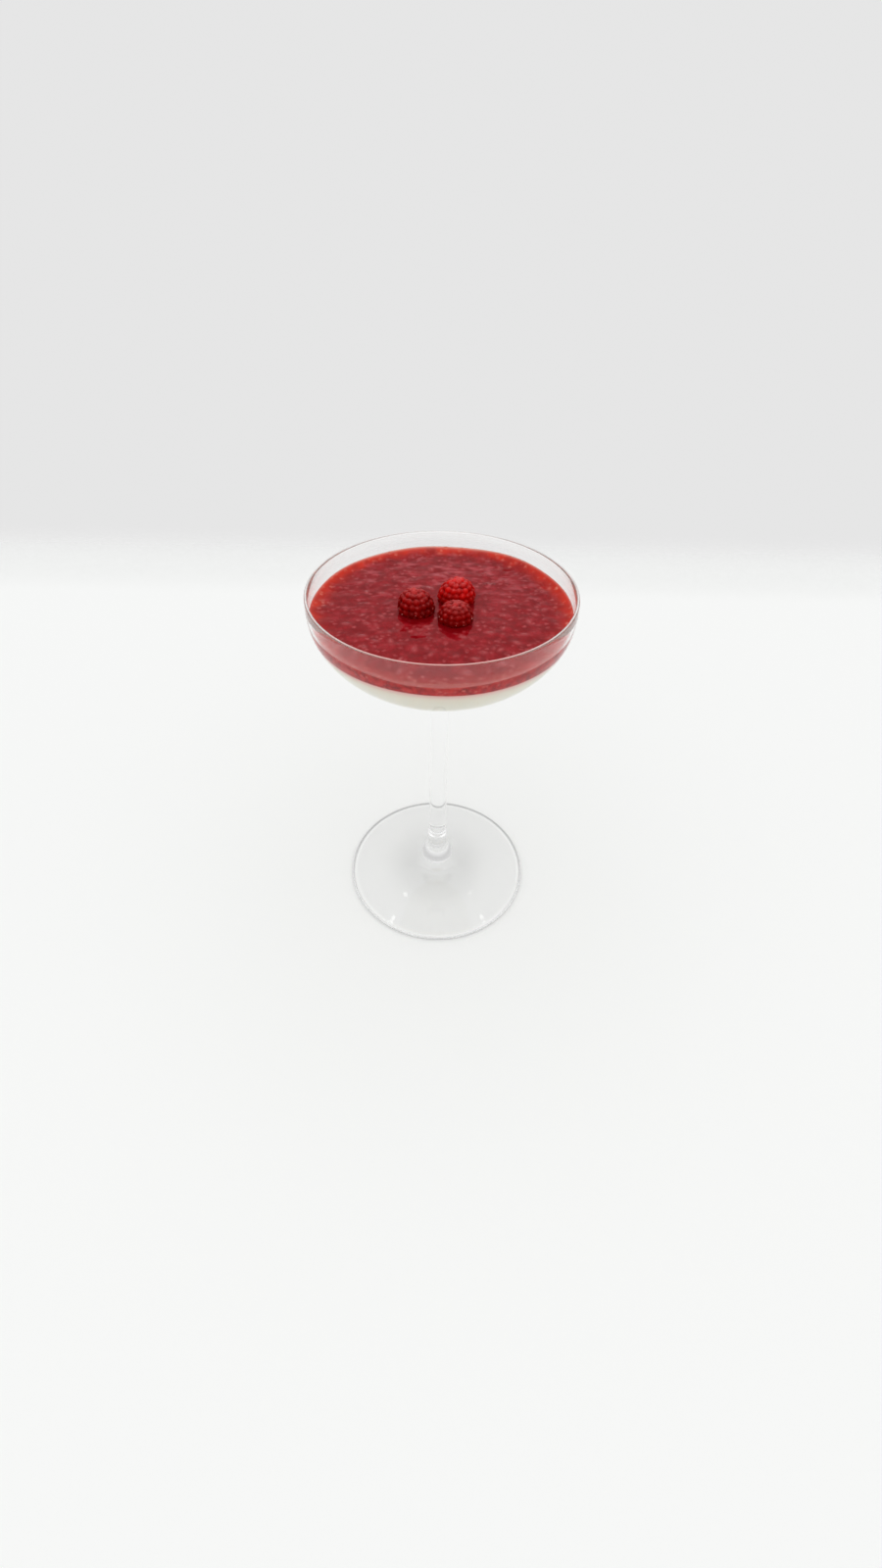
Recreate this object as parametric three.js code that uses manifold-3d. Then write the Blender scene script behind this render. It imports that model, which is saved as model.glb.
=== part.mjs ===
// Panna cotta set in a stemmed coupe glass, under a layer of raspberry coulis with three raspberries.
// Millimetres, +Z up, origin on the table at the middle of the glass's foot.
import * as THREE from "three";
import { ConvexHull } from "three/addons/math/ConvexHull.js";
import { mergeVertices } from "three/addons/utils/BufferGeometryUtils.js";
import Module from "manifold-3d";

const wasm = await Module();
wasm.setup();

// ---- Driving dimensions ----

const RIM_RADIUS = 55; // outside of the bowl at its mouth
const GLASS_HEIGHT = 170;
const LIP_HEIGHT = 5; // straight wall under the rim, above the rounded bowl
const BOWL_DEPTH = 39.1; // of the rounded bowl, outside
const WALL = 1.25; // at the rim
const BOWL_FLOOR = 2.4; // glass under the bowl's lowest point
const BOWL_START = 13; // radius where the stem's upper flare has become the bowl
const BOWL_SWEEP = [[4.1, 112], [6, 125.7]]; // [radius, height] handles of the stem's upper flare
const STEM_WAIST = 3.95; // thinnest radius of the stem
const STEM_WAIST_HEIGHT = 93;
const JOINT_RADIUS = 4.45; // where the drawn stem meets the foot's flare
const JOINT_HEIGHT = 30.5;
const JOINT_GROOVE = 0.3; // depth of the fine groove round the joint
const JOINT_STEP = 0.1; // the stem starts this much thinner than the flare
const FLARE_SHOULDER = [8.2, 13.2]; // [radius, height] where the steep flare passes into the foot
const FLARE_RISE = [[6.2, 16], [4.6, 21]]; // handles from the shoulder up to the joint
const FOOT_SWEEP = [[28, 3.3], [16.5, 5.5]]; // handles from the foot's edge in to the shoulder
const FOOT_RADIUS = 45;
const FOOT_EDGE = 2.2; // thickness of the foot's edge
const FOOT_ROUNDING = 1.7; // how far in the edge's rounding reaches
const FOOT_HOLLOW = 1.4; // how far the middle of the underside stands clear of the table
const FOOT_RING = 39; // the underside rests on the ring outside this radius

const CREAM_LEVEL = 155.2; // top of the panna cotta
const COULIS_LEVEL = 159.4; // flat top of the coulis
const MENISCUS_RISE = 2.1; // how far the coulis climbs the glass
const MENISCUS_REACH = 1.7; // how quickly it falls away from the glass
const MENISCUS_END = 6; // distance from the glass where its top is flat
const MENISCUS_STEPS = [0.4, 1.2, 2.6]; // distances from the glass where its height is taken
const BACK_RISE = 1; // how much higher it climbs at the back
const POUR_RISE = 0.9; // and where it was poured, at the back right
const POUR_TURN = 0.85; // radians from +X
const POUR_SPREAD = 0.45; // radians
const FRONT_FALL = 1.9; // how much lower it climbs at the front
const FRONT_SPREAD = 0.6; // radians
const GAP = 0.3; // clearance between pieces that touch
const SOCKET_GAP = 0.42; // clearance round the berries, whose sockets are coarser

const SIDES = 48; // round the turned shapes
const BERRY_EQUATOR = 160.5; // height of the berries' widest part
const BERRY_SUNK = 3.7; // how far a berry reaches below its equator
const DRUPELET_PITCH = 2.8;
const DRUPELET_RADIUS = 1.62;
const DRUPELET_VALLEY = 0.95; // how far the valleys between drupelets lie under the berry's outside
const RING_PITCH = 0.88; // rings of drupelets lie this much closer than their pitch
const RING_START = 0.35; // the first ring above the equator, as a share of the rings' spacing
const RING_ARC = 0.8; // length from equator to tip, as a share of radius and height together
const TURN_SCATTER = 0.22; // as a share of the pitch
const LIFT_SCATTER = 0.07; // radians
const LOWER_CROWNS = 5; // round the sunk underside

// Each berry: where it stands, its radius and height above the equator, and which way it leans.
const BERRIES = [
  { name: "raspberry_left", x: -10.2, y: -0.5, radius: 7.8, top: 8.6, lean: [-0.12, 0.05], seed: 5 },
  { name: "raspberry_back", x: 6.2, y: 9.4, radius: 8.1, top: 8.4, lean: [0.08, 0.04], seed: 11 },
  { name: "raspberry_front", x: 5.7, y: -6.9, radius: 7.4, top: 7.0, lean: [0.02, -0.06], seed: 23 },
];

const SHOULDERS_ABOVE = -0.15; // drupelets facing lower than this are drawn without shoulders
const SHOULDER_SHARE = 0.27; // where the shoulder lies on the way to the next drupelet

const PULP_COUNT = 48; // seeds and pulp that break the coulis's surface
const PULP_SPACING = 5.2;
const PULP_OFF_GLASS = 6;
const PULP_OFF_BERRIES = 2.6;
const PULP_HALF_LENGTH = [1, 1.6]; // shortest and longest
const PULP_HALF_WIDTH = 0.75;
const PULP_HALF_HEIGHT = 0.5;
const PULP_SUNK = 0.12; // how far its middle lies under the coulis's top
const PULP_TRIES = 6000;
const PULP_SEED = 7;

// ---- Materials ----

const glass = new THREE.MeshStandardMaterial({
  color: 0xf4f8f6, roughness: 0.02, metalness: 0, transparent: true, opacity: 0.3,
});
const cream = new THREE.MeshStandardMaterial({ color: 0xece6d6, roughness: 0.45, metalness: 0 });
const coulisRed = new THREE.MeshStandardMaterial({ color: 0x9a1c24, roughness: 0.12, metalness: 0 });
const berryRed = new THREE.MeshStandardMaterial({ color: 0xa3101c, roughness: 0.35, metalness: 0 });

// ---- Helpers ----

const MERGE_DISTANCE = 1e-4;

// A closed geometry as a manifold solid.
function solidOf(geometry) {
  const bare = geometry.clone();
  for (const name of Object.keys(bare.attributes)) {
    if (name !== "position") bare.deleteAttribute(name);
  }
  const merged = mergeVertices(bare, MERGE_DISTANCE);
  return new wasm.Manifold(
    new wasm.Mesh({
      numProp: 3,
      vertProperties: new Float32Array(merged.attributes.position.array),
      triVerts: new Uint32Array(merged.index.array),
    }),
  );
}

// A manifold solid as a geometry.
function geometryOf(solid) {
  const mesh = solid.getMesh();
  const geometry = new THREE.BufferGeometry();
  geometry.setAttribute("position", new THREE.BufferAttribute(new Float32Array(mesh.vertProperties), 3));
  geometry.setIndex(new THREE.BufferAttribute(new Uint32Array(mesh.triVerts), 1));
  geometry.computeVertexNormals();
  return geometry;
}

// Turns a profile of [radius, height] points round the Z axis.
function turned(profile) {
  const points = profile.map(([radius, height]) => new THREE.Vector2(radius, height));
  return new THREE.LatheGeometry(points, SIDES).rotateX(Math.PI / 2);
}

// Points along a cubic Bezier curve with two handles, without its first point.
function bezier(start, handles, end, steps) {
  const at = (point) => new THREE.Vector2(...point);
  const curve = new THREE.CubicBezierCurve(at(start), ...handles.map(at), at(end));
  return curve.getPoints(steps).slice(1).map((point) => [point.x, point.y]);
}

// Points along an ellipse from angle `from` to `to`, measured from its lowest point.
function ellipseArc(radius, depth, centreHeight, from, to, steps) {
  const points = [];
  for (let i = 0; i <= steps; i++) {
    const angle = from + ((to - from) * i) / steps;
    points.push([radius * Math.sin(angle), centreHeight - depth * Math.cos(angle)]);
  }
  return points;
}

// A repeatable stream of numbers from 0 to 1.
function randomStream(seed) {
  let state = seed;
  return () => {
    state = (state + 0x6d2b79f5) | 0;
    let mixed = Math.imul(state ^ (state >>> 15), 1 | state);
    mixed = (mixed + Math.imul(mixed ^ (mixed >>> 7), 61 | mixed)) ^ mixed;
    return ((mixed ^ (mixed >>> 14)) >>> 0) / 4294967296;
  };
}

// ---- The coupe glass ----

const BOWL_CENTRE = GLASS_HEIGHT - LIP_HEIGHT; // height where the rounded bowl is widest
const INNER_RADIUS = RIM_RADIUS - WALL;
const INNER_DEPTH = BOWL_DEPTH - BOWL_FLOOR;

// Radius of the bowl's inside at a height.
function innerRadius(height) {
  if (height >= BOWL_CENTRE) return INNER_RADIUS;
  const fall = (BOWL_CENTRE - height) / INNER_DEPTH;
  return INNER_RADIUS * Math.sqrt(Math.max(0, 1 - fall * fall));
}

// Half of a rounded edge, from below or outside to above or inside, as shares of its two half sizes.
function halfRound(from, steps) {
  return Array.from({ length: steps + 1 }, (_, i) => {
    const angle = from + (Math.PI * i) / steps;
    return [Math.cos(angle), Math.sin(angle)];
  });
}

function coupeGlass() {
  const underside = [0, 0.4, 0.7].map((share) => {
    return [FOOT_RING * share, FOOT_HOLLOW * (0.5 + 0.5 * Math.cos(Math.PI * share))];
  });
  const edgeCentre = FOOT_RADIUS - FOOT_ROUNDING;
  const halfEdge = FOOT_EDGE / 2;
  const footEdge = halfRound(-Math.PI / 2, 4).map(([out, up]) => {
    return [edgeCentre + FOOT_ROUNDING * out, halfEdge + halfEdge * up];
  });
  const lip = WALL / 2;
  const rim = halfRound(0, 4).map(([out, up]) => {
    return [RIM_RADIUS - lip + lip * out, GLASS_HEIGHT - lip + lip * up];
  });
  const startAngle = Math.asin(BOWL_START / RIM_RADIUS);
  const bowl = ellipseArc(RIM_RADIUS, BOWL_DEPTH, BOWL_CENTRE, startAngle, Math.PI / 2, 7);
  const waist = [STEM_WAIST, STEM_WAIST_HEIGHT];
  const profile = [
    ...underside,
    [FOOT_RING, 0],
    ...footEdge,
    ...bezier([edgeCentre, FOOT_EDGE], FOOT_SWEEP, FLARE_SHOULDER, 5),
    ...bezier(FLARE_SHOULDER, FLARE_RISE, [JOINT_RADIUS, JOINT_HEIGHT - JOINT_GROOVE], 3),
    [JOINT_RADIUS - JOINT_GROOVE, JOINT_HEIGHT],
    [JOINT_RADIUS - JOINT_STEP, JOINT_HEIGHT + JOINT_GROOVE],
    waist,
    ...bezier(waist, BOWL_SWEEP, bowl[0], 4),
    ...bowl.slice(1),
    ...rim,
    ...ellipseArc(INNER_RADIUS, INNER_DEPTH, BOWL_CENTRE, Math.PI / 2, 0, 8),
  ];
  profile[profile.length - 1][0] = 0;
  return turned(profile);
}

// ---- The panna cotta and the coulis ----

// Radius of a filling that stands a gap clear of the glass.
const fillRadius = (height) => innerRadius(height) - GAP;

function pannaCotta() {
  const lowest = BOWL_CENTRE - INNER_DEPTH + GAP;
  const topAngle = Math.acos((BOWL_CENTRE - CREAM_LEVEL) / (INNER_DEPTH - GAP));
  const wall = ellipseArc(INNER_RADIUS - GAP, INNER_DEPTH - GAP, BOWL_CENTRE, 0, topAngle, 7);
  wall[0] = [0, lowest];
  return turned([...wall, [0, CREAM_LEVEL]]);
}

// A berry's outline: a dome above its equator and a flatter round below, both grown by `extra`.
function berryReach(berry, direction, extra = 0) {
  const along = direction.z > 0 ? berry.top + extra : BERRY_SUNK + extra;
  const across = berry.radius + extra;
  const flat = Math.hypot(direction.x, direction.y) / across;
  return 1 / Math.hypot(flat, direction.z / along);
}

// Smooth hollow that a berry sits in.
function berrySocket(berry) {
  const shape = new THREE.SphereGeometry(1, 20, 12).rotateX(Math.PI / 2);
  const position = shape.getAttribute("position");
  const direction = new THREE.Vector3();
  for (let i = 0; i < position.count; i++) {
    direction.fromBufferAttribute(position, i).normalize();
    direction.multiplyScalar(berryReach(berry, direction, SOCKET_GAP));
    position.setXYZ(i, direction.x + berry.x, direction.y + berry.y, direction.z + BERRY_EQUATOR);
  }
  return solidOf(shape);
}

// Places for the seeds and pulp, spread evenly over the coulis and clear of berries and glass.
function pulpPlaces() {
  const random = randomStream(PULP_SEED);
  const places = [];
  const reach = fillRadius(COULIS_LEVEL) - PULP_OFF_GLASS;
  const [shortest, longest] = PULP_HALF_LENGTH;
  for (let tries = 0; tries < PULP_TRIES && places.length < PULP_COUNT; tries++) {
    const radius = reach * Math.sqrt(random());
    const turn = random() * 2 * Math.PI;
    const place = { x: radius * Math.cos(turn), y: radius * Math.sin(turn) };
    const far = (other, least) => Math.hypot(place.x - other.x, place.y - other.y) > least;
    const clearOfBerries = BERRIES.every((berry) => far(berry, berry.radius + PULP_OFF_BERRIES));
    if (clearOfBerries && places.every((other) => far(other, PULP_SPACING))) {
      const length = shortest + (longest - shortest) * random();
      places.push({ ...place, length, turn: random() * Math.PI });
    }
  }
  return places;
}

// How much the rise at the glass changes round it, as a share: more at the back and where it was poured.
function extraRise(turn) {
  const back = BACK_RISE * Math.max(0, Math.sin(turn)) ** 2;
  const poured = POUR_RISE * Math.exp(-(((turn - POUR_TURN) / POUR_SPREAD) ** 2));
  const front = FRONT_FALL * Math.exp(-(((turn + Math.PI / 2) / FRONT_SPREAD) ** 2));
  return (back + poured - front) / MENISCUS_RISE;
}

// The layer without its pulp and sockets: an even rise at the glass, stretched where it climbs higher.
function coulisLayer() {
  const bottom = CREAM_LEVEL + GAP;
  const contact = COULIS_LEVEL + MENISCUS_RISE;
  const edge = fillRadius(contact);
  const meniscus = MENISCUS_STEPS.map((inset) => {
    return [edge - inset, COULIS_LEVEL + MENISCUS_RISE * Math.exp(-inset / MENISCUS_REACH)];
  });
  const layer = turned([
    [0, bottom],
    [fillRadius(bottom), bottom],
    [fillRadius(COULIS_LEVEL), COULIS_LEVEL],
    [edge, contact],
    ...meniscus,
    [edge - MENISCUS_END, COULIS_LEVEL],
    [0, COULIS_LEVEL],
  ]);
  const position = layer.getAttribute("position");
  for (let i = 0; i < position.count; i++) {
    const above = Math.max(0, position.getZ(i) - COULIS_LEVEL);
    const turn = Math.atan2(position.getY(i), position.getX(i));
    const height = position.getZ(i) + above * extraRise(turn);
    const radius = Math.hypot(position.getX(i), position.getY(i));
    const kept = Math.min(radius, fillRadius(height));
    position.setXYZ(i, kept * Math.cos(turn), kept * Math.sin(turn), height);
  }
  return solidOf(layer);
}

function coulis() {
  let body = coulisLayer();
  const lump = new THREE.OctahedronGeometry(1, 1);
  for (const place of pulpPlaces()) {
    const shape = lump.clone().scale(place.length, PULP_HALF_WIDTH, PULP_HALF_HEIGHT).rotateZ(place.turn);
    body = body.add(solidOf(shape.translate(place.x, place.y, COULIS_LEVEL - PULP_SUNK)));
  }
  for (const berry of BERRIES) {
    body = body.subtract(berrySocket(berry));
  }
  return geometryOf(body);
}

// ---- The raspberries ----

// Directions of the drupelets from the berry's middle: staggered rings from below the equator to the tip.
function drupeletDirections(berry) {
  const random = randomStream(berry.seed);
  const directions = [];
  const arc = (berry.radius + berry.top) * RING_ARC;
  const rings = Math.round(arc / (DRUPELET_PITCH * RING_PITCH));
  for (let ring = -1; ring < rings; ring++) {
    const rise = ((ring + RING_START) / rings) * (Math.PI / 2);
    const around = 2 * Math.PI * berry.radius * Math.cos(rise);
    const count = Math.max(1, Math.round(around / DRUPELET_PITCH));
    for (let i = 0; i < count; i++) {
      const stagger = ring % 2 ? 0.5 : 0;
      const turn = ((i + stagger + TURN_SCATTER * (random() - 0.5)) / count) * 2 * Math.PI;
      const lift = rise + LIFT_SCATTER * (random() - 0.5);
      directions.push(
        new THREE.Vector3(
          berry.radius * Math.cos(lift) * Math.cos(turn),
          berry.radius * Math.cos(lift) * Math.sin(turn),
          (lift > 0 ? berry.top : BERRY_SUNK) * Math.sin(lift),
        ).normalize(),
      );
    }
  }
  directions.push(new THREE.Vector3(0, 0, 1));
  for (let i = 0; i < LOWER_CROWNS; i++) {
    const turn = (i / LOWER_CROWNS) * 2 * Math.PI;
    directions.push(new THREE.Vector3(Math.cos(turn), Math.sin(turn), -1).normalize());
  }
  directions.push(new THREE.Vector3(0, 0, -1));
  return directions;
}

// Triangles of the convex hull round points on the unit sphere, as lists of point indices.
function hullTriangles(points) {
  const index = new Map(points.map((point, i) => [point, i]));
  return new ConvexHull().setFromPoints(points).faces.map((face) => {
    const corners = [];
    let edge = face.edge;
    do {
      corners.push(index.get(edge.head().point));
      edge = edge.next;
    } while (edge !== face.edge);
    return corners;
  });
}

// Sample directions that catch each drupelet's crown, its shoulders and the valleys round it.
function sampleDirections(crowns) {
  const samples = [...crowns];
  const edges = new Set();
  const blend = (a, b, share) => a.clone().lerp(b, share).normalize();
  for (const [a, b, c] of hullTriangles(crowns)) {
    samples.push(crowns[a].clone().add(crowns[b]).add(crowns[c]).normalize());
    for (const [from, to] of [[a, b], [b, c], [c, a]]) {
      if (crowns[from].z > SHOULDERS_ABOVE) samples.push(blend(crowns[from], crowns[to], SHOULDER_SHARE));
      const key = Math.min(from, to) + "_" + Math.max(from, to);
      if (!edges.has(key)) samples.push(blend(crowns[from], crowns[to], 0.5));
      edges.add(key);
    }
  }
  return samples;
}

// How far the berry's surface lies from its middle: the outermost drupelet met on the way, or the core.
function berrySurface(berry, centres, direction) {
  let reach = berryReach(berry, direction, -DRUPELET_VALLEY);
  for (const centre of centres) {
    const along = direction.dot(centre);
    const inside = DRUPELET_RADIUS ** 2 - centre.lengthSq() + along ** 2;
    if (along > 0 && inside > 0) reach = Math.max(reach, along + Math.sqrt(inside));
  }
  return Math.min(reach, berryReach(berry, direction));
}

function raspberry(berry) {
  const crowns = drupeletDirections(berry);
  const centres = crowns.map((crown) => {
    return crown.clone().multiplyScalar(berryReach(berry, crown, -DRUPELET_RADIUS));
  });
  const samples = sampleDirections(crowns);
  const positions = [];
  for (const direction of samples) {
    const point = direction.clone().multiplyScalar(berrySurface(berry, centres, direction));
    const lifted = Math.max(point.z, 0);
    positions.push(point.x + berry.lean[0] * lifted, point.y + berry.lean[1] * lifted, point.z);
  }
  const geometry = new THREE.BufferGeometry();
  geometry.setAttribute("position", new THREE.Float32BufferAttribute(positions, 3));
  geometry.setIndex(hullTriangles(samples).flat());
  geometry.computeVertexNormals();
  return geometry;
}

// ---- The whole ----

function named(name, geometry, material) {
  const mesh = new THREE.Mesh(geometry, material);
  mesh.name = name;
  return mesh;
}

const dessert = new THREE.Group();
dessert.add(named("coupe_glass", coupeGlass(), glass));
dessert.add(named("panna_cotta", pannaCotta(), cream));
dessert.add(named("raspberry_coulis", coulis(), coulisRed));
for (const berry of BERRIES) {
  const mesh = named(berry.name, raspberry(berry), berryRed);
  mesh.position.set(berry.x, berry.y, BERRY_EQUATOR);
  dessert.add(mesh);
}

export default dessert;
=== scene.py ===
"""Panna cotta in a stemmed coupe glass, under raspberry coulis and three raspberries.

Lengths are in millimetres until a mesh is made, where they become metres. +Z is up, and the origin is on the
table at the middle of the glass's foot.
"""

import logging
import math
from dataclasses import dataclass, field, replace
from enum import Enum
from typing import Any

import bpy
import numpy as np
from mathutils import Matrix, Vector
from numpy.typing import NDArray


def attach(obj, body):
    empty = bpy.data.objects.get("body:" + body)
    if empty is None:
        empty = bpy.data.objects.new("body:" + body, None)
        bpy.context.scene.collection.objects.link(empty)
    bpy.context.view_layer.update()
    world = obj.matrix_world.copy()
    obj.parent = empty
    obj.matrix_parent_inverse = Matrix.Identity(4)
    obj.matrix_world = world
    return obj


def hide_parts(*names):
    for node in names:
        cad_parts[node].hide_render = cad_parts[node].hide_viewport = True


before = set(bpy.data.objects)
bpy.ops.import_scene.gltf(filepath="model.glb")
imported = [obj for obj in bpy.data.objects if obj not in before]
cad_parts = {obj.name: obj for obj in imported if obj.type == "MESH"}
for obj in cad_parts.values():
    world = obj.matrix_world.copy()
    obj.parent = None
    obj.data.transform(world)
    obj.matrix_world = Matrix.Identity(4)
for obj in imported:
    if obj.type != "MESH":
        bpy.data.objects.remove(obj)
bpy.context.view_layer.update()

Array = NDArray[np.float64]
Faces = list[list[int]]
Pair = tuple[float, float]
Socket = bpy.types.NodeSocket
Tree = bpy.types.NodeTree

LOG = logging.getLogger("dessert")
MM = 0.001
# The Mix node's numbers for its two colours and for what comes out.
FIRST_COLOUR, SECOND_COLOUR, BLENDED_COLOUR = 6, 7, 2


# ---- Helpers for materials ----


def linear(hex_colour: str) -> tuple[float, float, float, float]:
    """Turns an sRGB colour into the linear one that Blender's sockets take.

    Args:
        hex_colour: the colour as "#rrggbb".

    Returns:
        Linear red, green and blue with an alpha of 1.
    """
    shares = [int(hex_colour[i : i + 2], 16) / 255 for i in (1, 3, 5)]
    red, green, blue = (s / 12.92 if s <= 0.04045 else ((s + 0.055) / 1.055) ** 2.4 for s in shares)
    return (red, green, blue, 1.0)


def add_node(
    tree: Tree, kind: str, inputs: dict[str | int, Any] | None = None, **settings: Any
) -> bpy.types.Node:
    """Adds a node with its settings and inputs.

    Args:
        tree: the node tree that gets the node.
        kind: the node's Blender type.
        inputs: for the name or number of an input, the socket that feeds it, an sRGB colour or a plain value.
        settings: values of the node's own properties.

    Returns:
        The new node.
    """
    node = tree.nodes.new(kind)
    for name, value in settings.items():
        setattr(node, name, value)
    for key, value in (inputs or {}).items():
        if isinstance(value, Socket):
            tree.links.new(value, node.inputs[key])
        else:
            node.inputs[key].default_value = linear(value) if isinstance(value, str) else value
    return node


def new_material(name: str) -> tuple[bpy.types.Material, Tree, Socket]:
    """Makes an empty node material.

    Args:
        name: the real material's name.

    Returns:
        The material, its node tree and each point's place on the object itself.
    """
    material = bpy.data.materials.new(name)
    material.use_nodes = True
    tree = material.node_tree
    tree.nodes.clear()
    return material, tree, add_node(tree, "ShaderNodeTexCoord").outputs["Object"]


def attribute(tree: Tree, name: str) -> Socket:
    """Reads one of the piece's own attributes."""
    return add_node(tree, "ShaderNodeAttribute", attribute_name=name).outputs["Fac"]


def noise(tree: Tree, place: Socket, size_mm: float, **inputs: float) -> Socket:
    """Adds cloudy noise from 0 to 1, with clouds of that width."""
    fed = {"Vector": place, "Scale": 1 / (size_mm * MM), **inputs}
    return add_node(tree, "ShaderNodeTexNoise", fed).outputs["Fac"]


def remap(
    tree: Tree, value: Socket, source: Pair = (0.0, 1.0), target: Pair = (0.0, 1.0), smooth: bool = False
) -> Socket:
    """Moves a value from one range to another, and holds it at the ends.

    Args:
        tree: the node tree.
        value: the value.
        source: the range that it comes from.
        target: the range that it goes to.
        smooth: whether it leaves and reaches the ends softly.

    Returns:
        The moved value.
    """
    (low, high), (least, most) = source, target
    inputs = {"Value": value, "From Min": low, "From Max": high, "To Min": least, "To Max": most}
    curve = "SMOOTHSTEP" if smooth else "LINEAR"
    return add_node(tree, "ShaderNodeMapRange", inputs, interpolation_type=curve).outputs["Result"]


def combine(tree: Tree, operation: str, first: Socket, second: Socket | float) -> Socket:
    """Works out one number from two by the Math node's operation of that name."""
    return add_node(tree, "ShaderNodeMath", {0: first, 1: second}, operation=operation).outputs["Value"]


def blend(tree: Tree, share: Socket, first: Socket | str, second: Socket | str) -> Socket:
    """Blends two colours: the first where the share is 0, the second where it is 1."""
    inputs = {0: share, FIRST_COLOUR: first, SECOND_COLOUR: second}
    return add_node(tree, "ShaderNodeMix", inputs, data_type="RGBA").outputs[BLENDED_COLOUR]


def blend_shaders(tree: Tree, share: Socket, first: Socket, second: Socket) -> Socket:
    """Blends two shaders: the first where the share is 0, the second where it is 1."""
    return add_node(tree, "ShaderNodeMixShader", {0: share, 1: first, 2: second}).outputs["Shader"]


def ramp(tree: Tree, value: Socket, *steps: tuple[float, str | float]) -> Socket:
    """Colours a value by steps.

    Args:
        tree: the node tree.
        value: the value.
        steps: each step's place from 0 to 1 and its colour, as sRGB text or the brightness of a linear grey.

    Returns:
        The colour.
    """
    node = add_node(tree, "ShaderNodeValToRGB", {"Fac": value})
    elements = node.color_ramp.elements
    while len(elements) < len(steps):
        elements.new(1.0)
    for element, (place, colour) in zip(elements, steps, strict=True):
        element.position = place
        element.color = linear(colour) if isinstance(colour, str) else (colour, colour, colour, 1.0)
    return node.outputs["Color"]


def relief(tree: Tree, height: Socket, depth_mm: float, strength: Socket | float = 1.0) -> Socket:
    """Turns a height from 0 to 1 into the normal of a surface that is that uneven."""
    inputs = {"Height": height, "Distance": depth_mm * MM, "Strength": strength}
    return add_node(tree, "ShaderNodeBump", inputs).outputs["Normal"]


@dataclass(frozen=True)
class Surface:
    """How a material answers light: its gloss, and the share of the light that sinks in and how far.

    By colour, it sinks in by those shares of that way for red, green and blue.
    """

    roughness: float
    ior: float = 1.5
    gloss: float = 0.5
    sinks: float = 0.0
    sinks_mm: float = 1.0
    sinks_by_colour: tuple[float, float, float] = (1.0, 0.2, 0.1)

    def build(self, tree: Tree, colour: Socket | str, normal: Socket | None = None) -> Socket:
        """Adds the shader.

        Args:
            tree: the material's node tree.
            colour: the material's colour.
            normal: the normal, where the material has relief.

        Returns:
            The shader.
        """
        inputs = {
            "Base Color": colour,
            "Roughness": self.roughness,
            "IOR": self.ior,
            "Specular IOR Level": self.gloss,
        }
        if self.sinks:
            inputs["Subsurface Weight"] = self.sinks
            inputs["Subsurface Radius"] = self.sinks_by_colour
            inputs["Subsurface Scale"] = self.sinks_mm * MM
        if normal is not None:
            inputs["Normal"] = normal
        return add_node(tree, "ShaderNodeBsdfPrincipled", inputs).outputs["BSDF"]


# ---- Helpers for shapes ----


def repeatable_stream(seed: int) -> Any:
    """Makes the same stream of numbers from 0 to 1 that the solids are laid out with.

    Args:
        seed: the stream's start.

    Returns:
        A function that gives the next number.
    """
    mask, step = 0xFFFFFFFF, 0x6D2B79F5
    state = seed

    def draw() -> float:
        """Gives the next number: the state moves on by a fixed step and its bits are mixed twice.

        Returns:
            A number from 0 to 1.
        """
        nonlocal state
        state = (state + step) & mask
        mixed = ((state ^ (state >> 15)) * (1 | state)) & mask
        mixed = ((mixed + (((mixed ^ (mixed >> 7)) * (61 | mixed)) & mask)) & mask) ^ mixed
        return ((mixed ^ (mixed >> 14)) & mask) / (mask + 1)

    return draw


def swing(turn: Array, *waves: tuple[float, int, float]) -> Array:
    """Adds up waves that run round a circle: the sum of a sin(n t + p), for its waves (a, n, p)."""
    return sum(size * np.sin(count * turn + phase) for size, count, phase in waves)


def fades(distance: Array, width: float, power: float = 2) -> Array:
    """A hump that falls from 1 as the distance grows: exp(-(d / w)^p)."""
    return np.exp(-((distance / width) ** power))


def ellipse_arc(radius: float, depth: float, centre: float, start: float, end: float, steps: int) -> Array:
    """Rows of radius and height on an ellipse, from angle to angle: (radius sin a, centre - depth cos a)."""
    angle = np.linspace(start, end, steps + 1)
    return np.column_stack([radius * np.sin(angle), centre - depth * np.cos(angle)])


def bezier(points: list[Pair], steps: int) -> Array:
    """A cubic Bezier curve through its end points, drawn by the two between them.

    Args:
        points: start, two handles and end.
        steps: stretches between the points returned.

    Returns:
        Rows of radius and height.
    """
    t = np.linspace(0, 1, steps + 1)[:, None]
    start, pull, push, end = (np.array(point) for point in points)
    return (1 - t) ** 3 * start + 3 * (1 - t) ** 2 * t * pull + 3 * (1 - t) * t**2 * push + t**3 * end


def about_axis(radius: Array, turn: Array, height: Array) -> Array:
    """Points about the Z axis: (r cos a, r sin a, z), on a grid as wide as the three are together."""
    return np.stack(np.broadcast_arrays(radius * np.cos(turn), radius * np.sin(turn), height), axis=-1)


def turned(profile: Array, segments: int) -> Array:
    """Turns a profile, given as rows of radius and height, round the Z axis into a grid of points."""
    return about_axis(profile[:, :1], np.linspace(0, 2 * np.pi, segments, endpoint=False), profile[:, 1:])


def unit_ball(rows: int, columns: int) -> Array:
    """A grid of points on a ball of radius 1: (sin p cos a, sin p sin a, cos p)."""
    polar = np.linspace(0, np.pi, rows)
    return turned(np.column_stack([np.sin(polar), np.cos(polar)]), columns)


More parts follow.
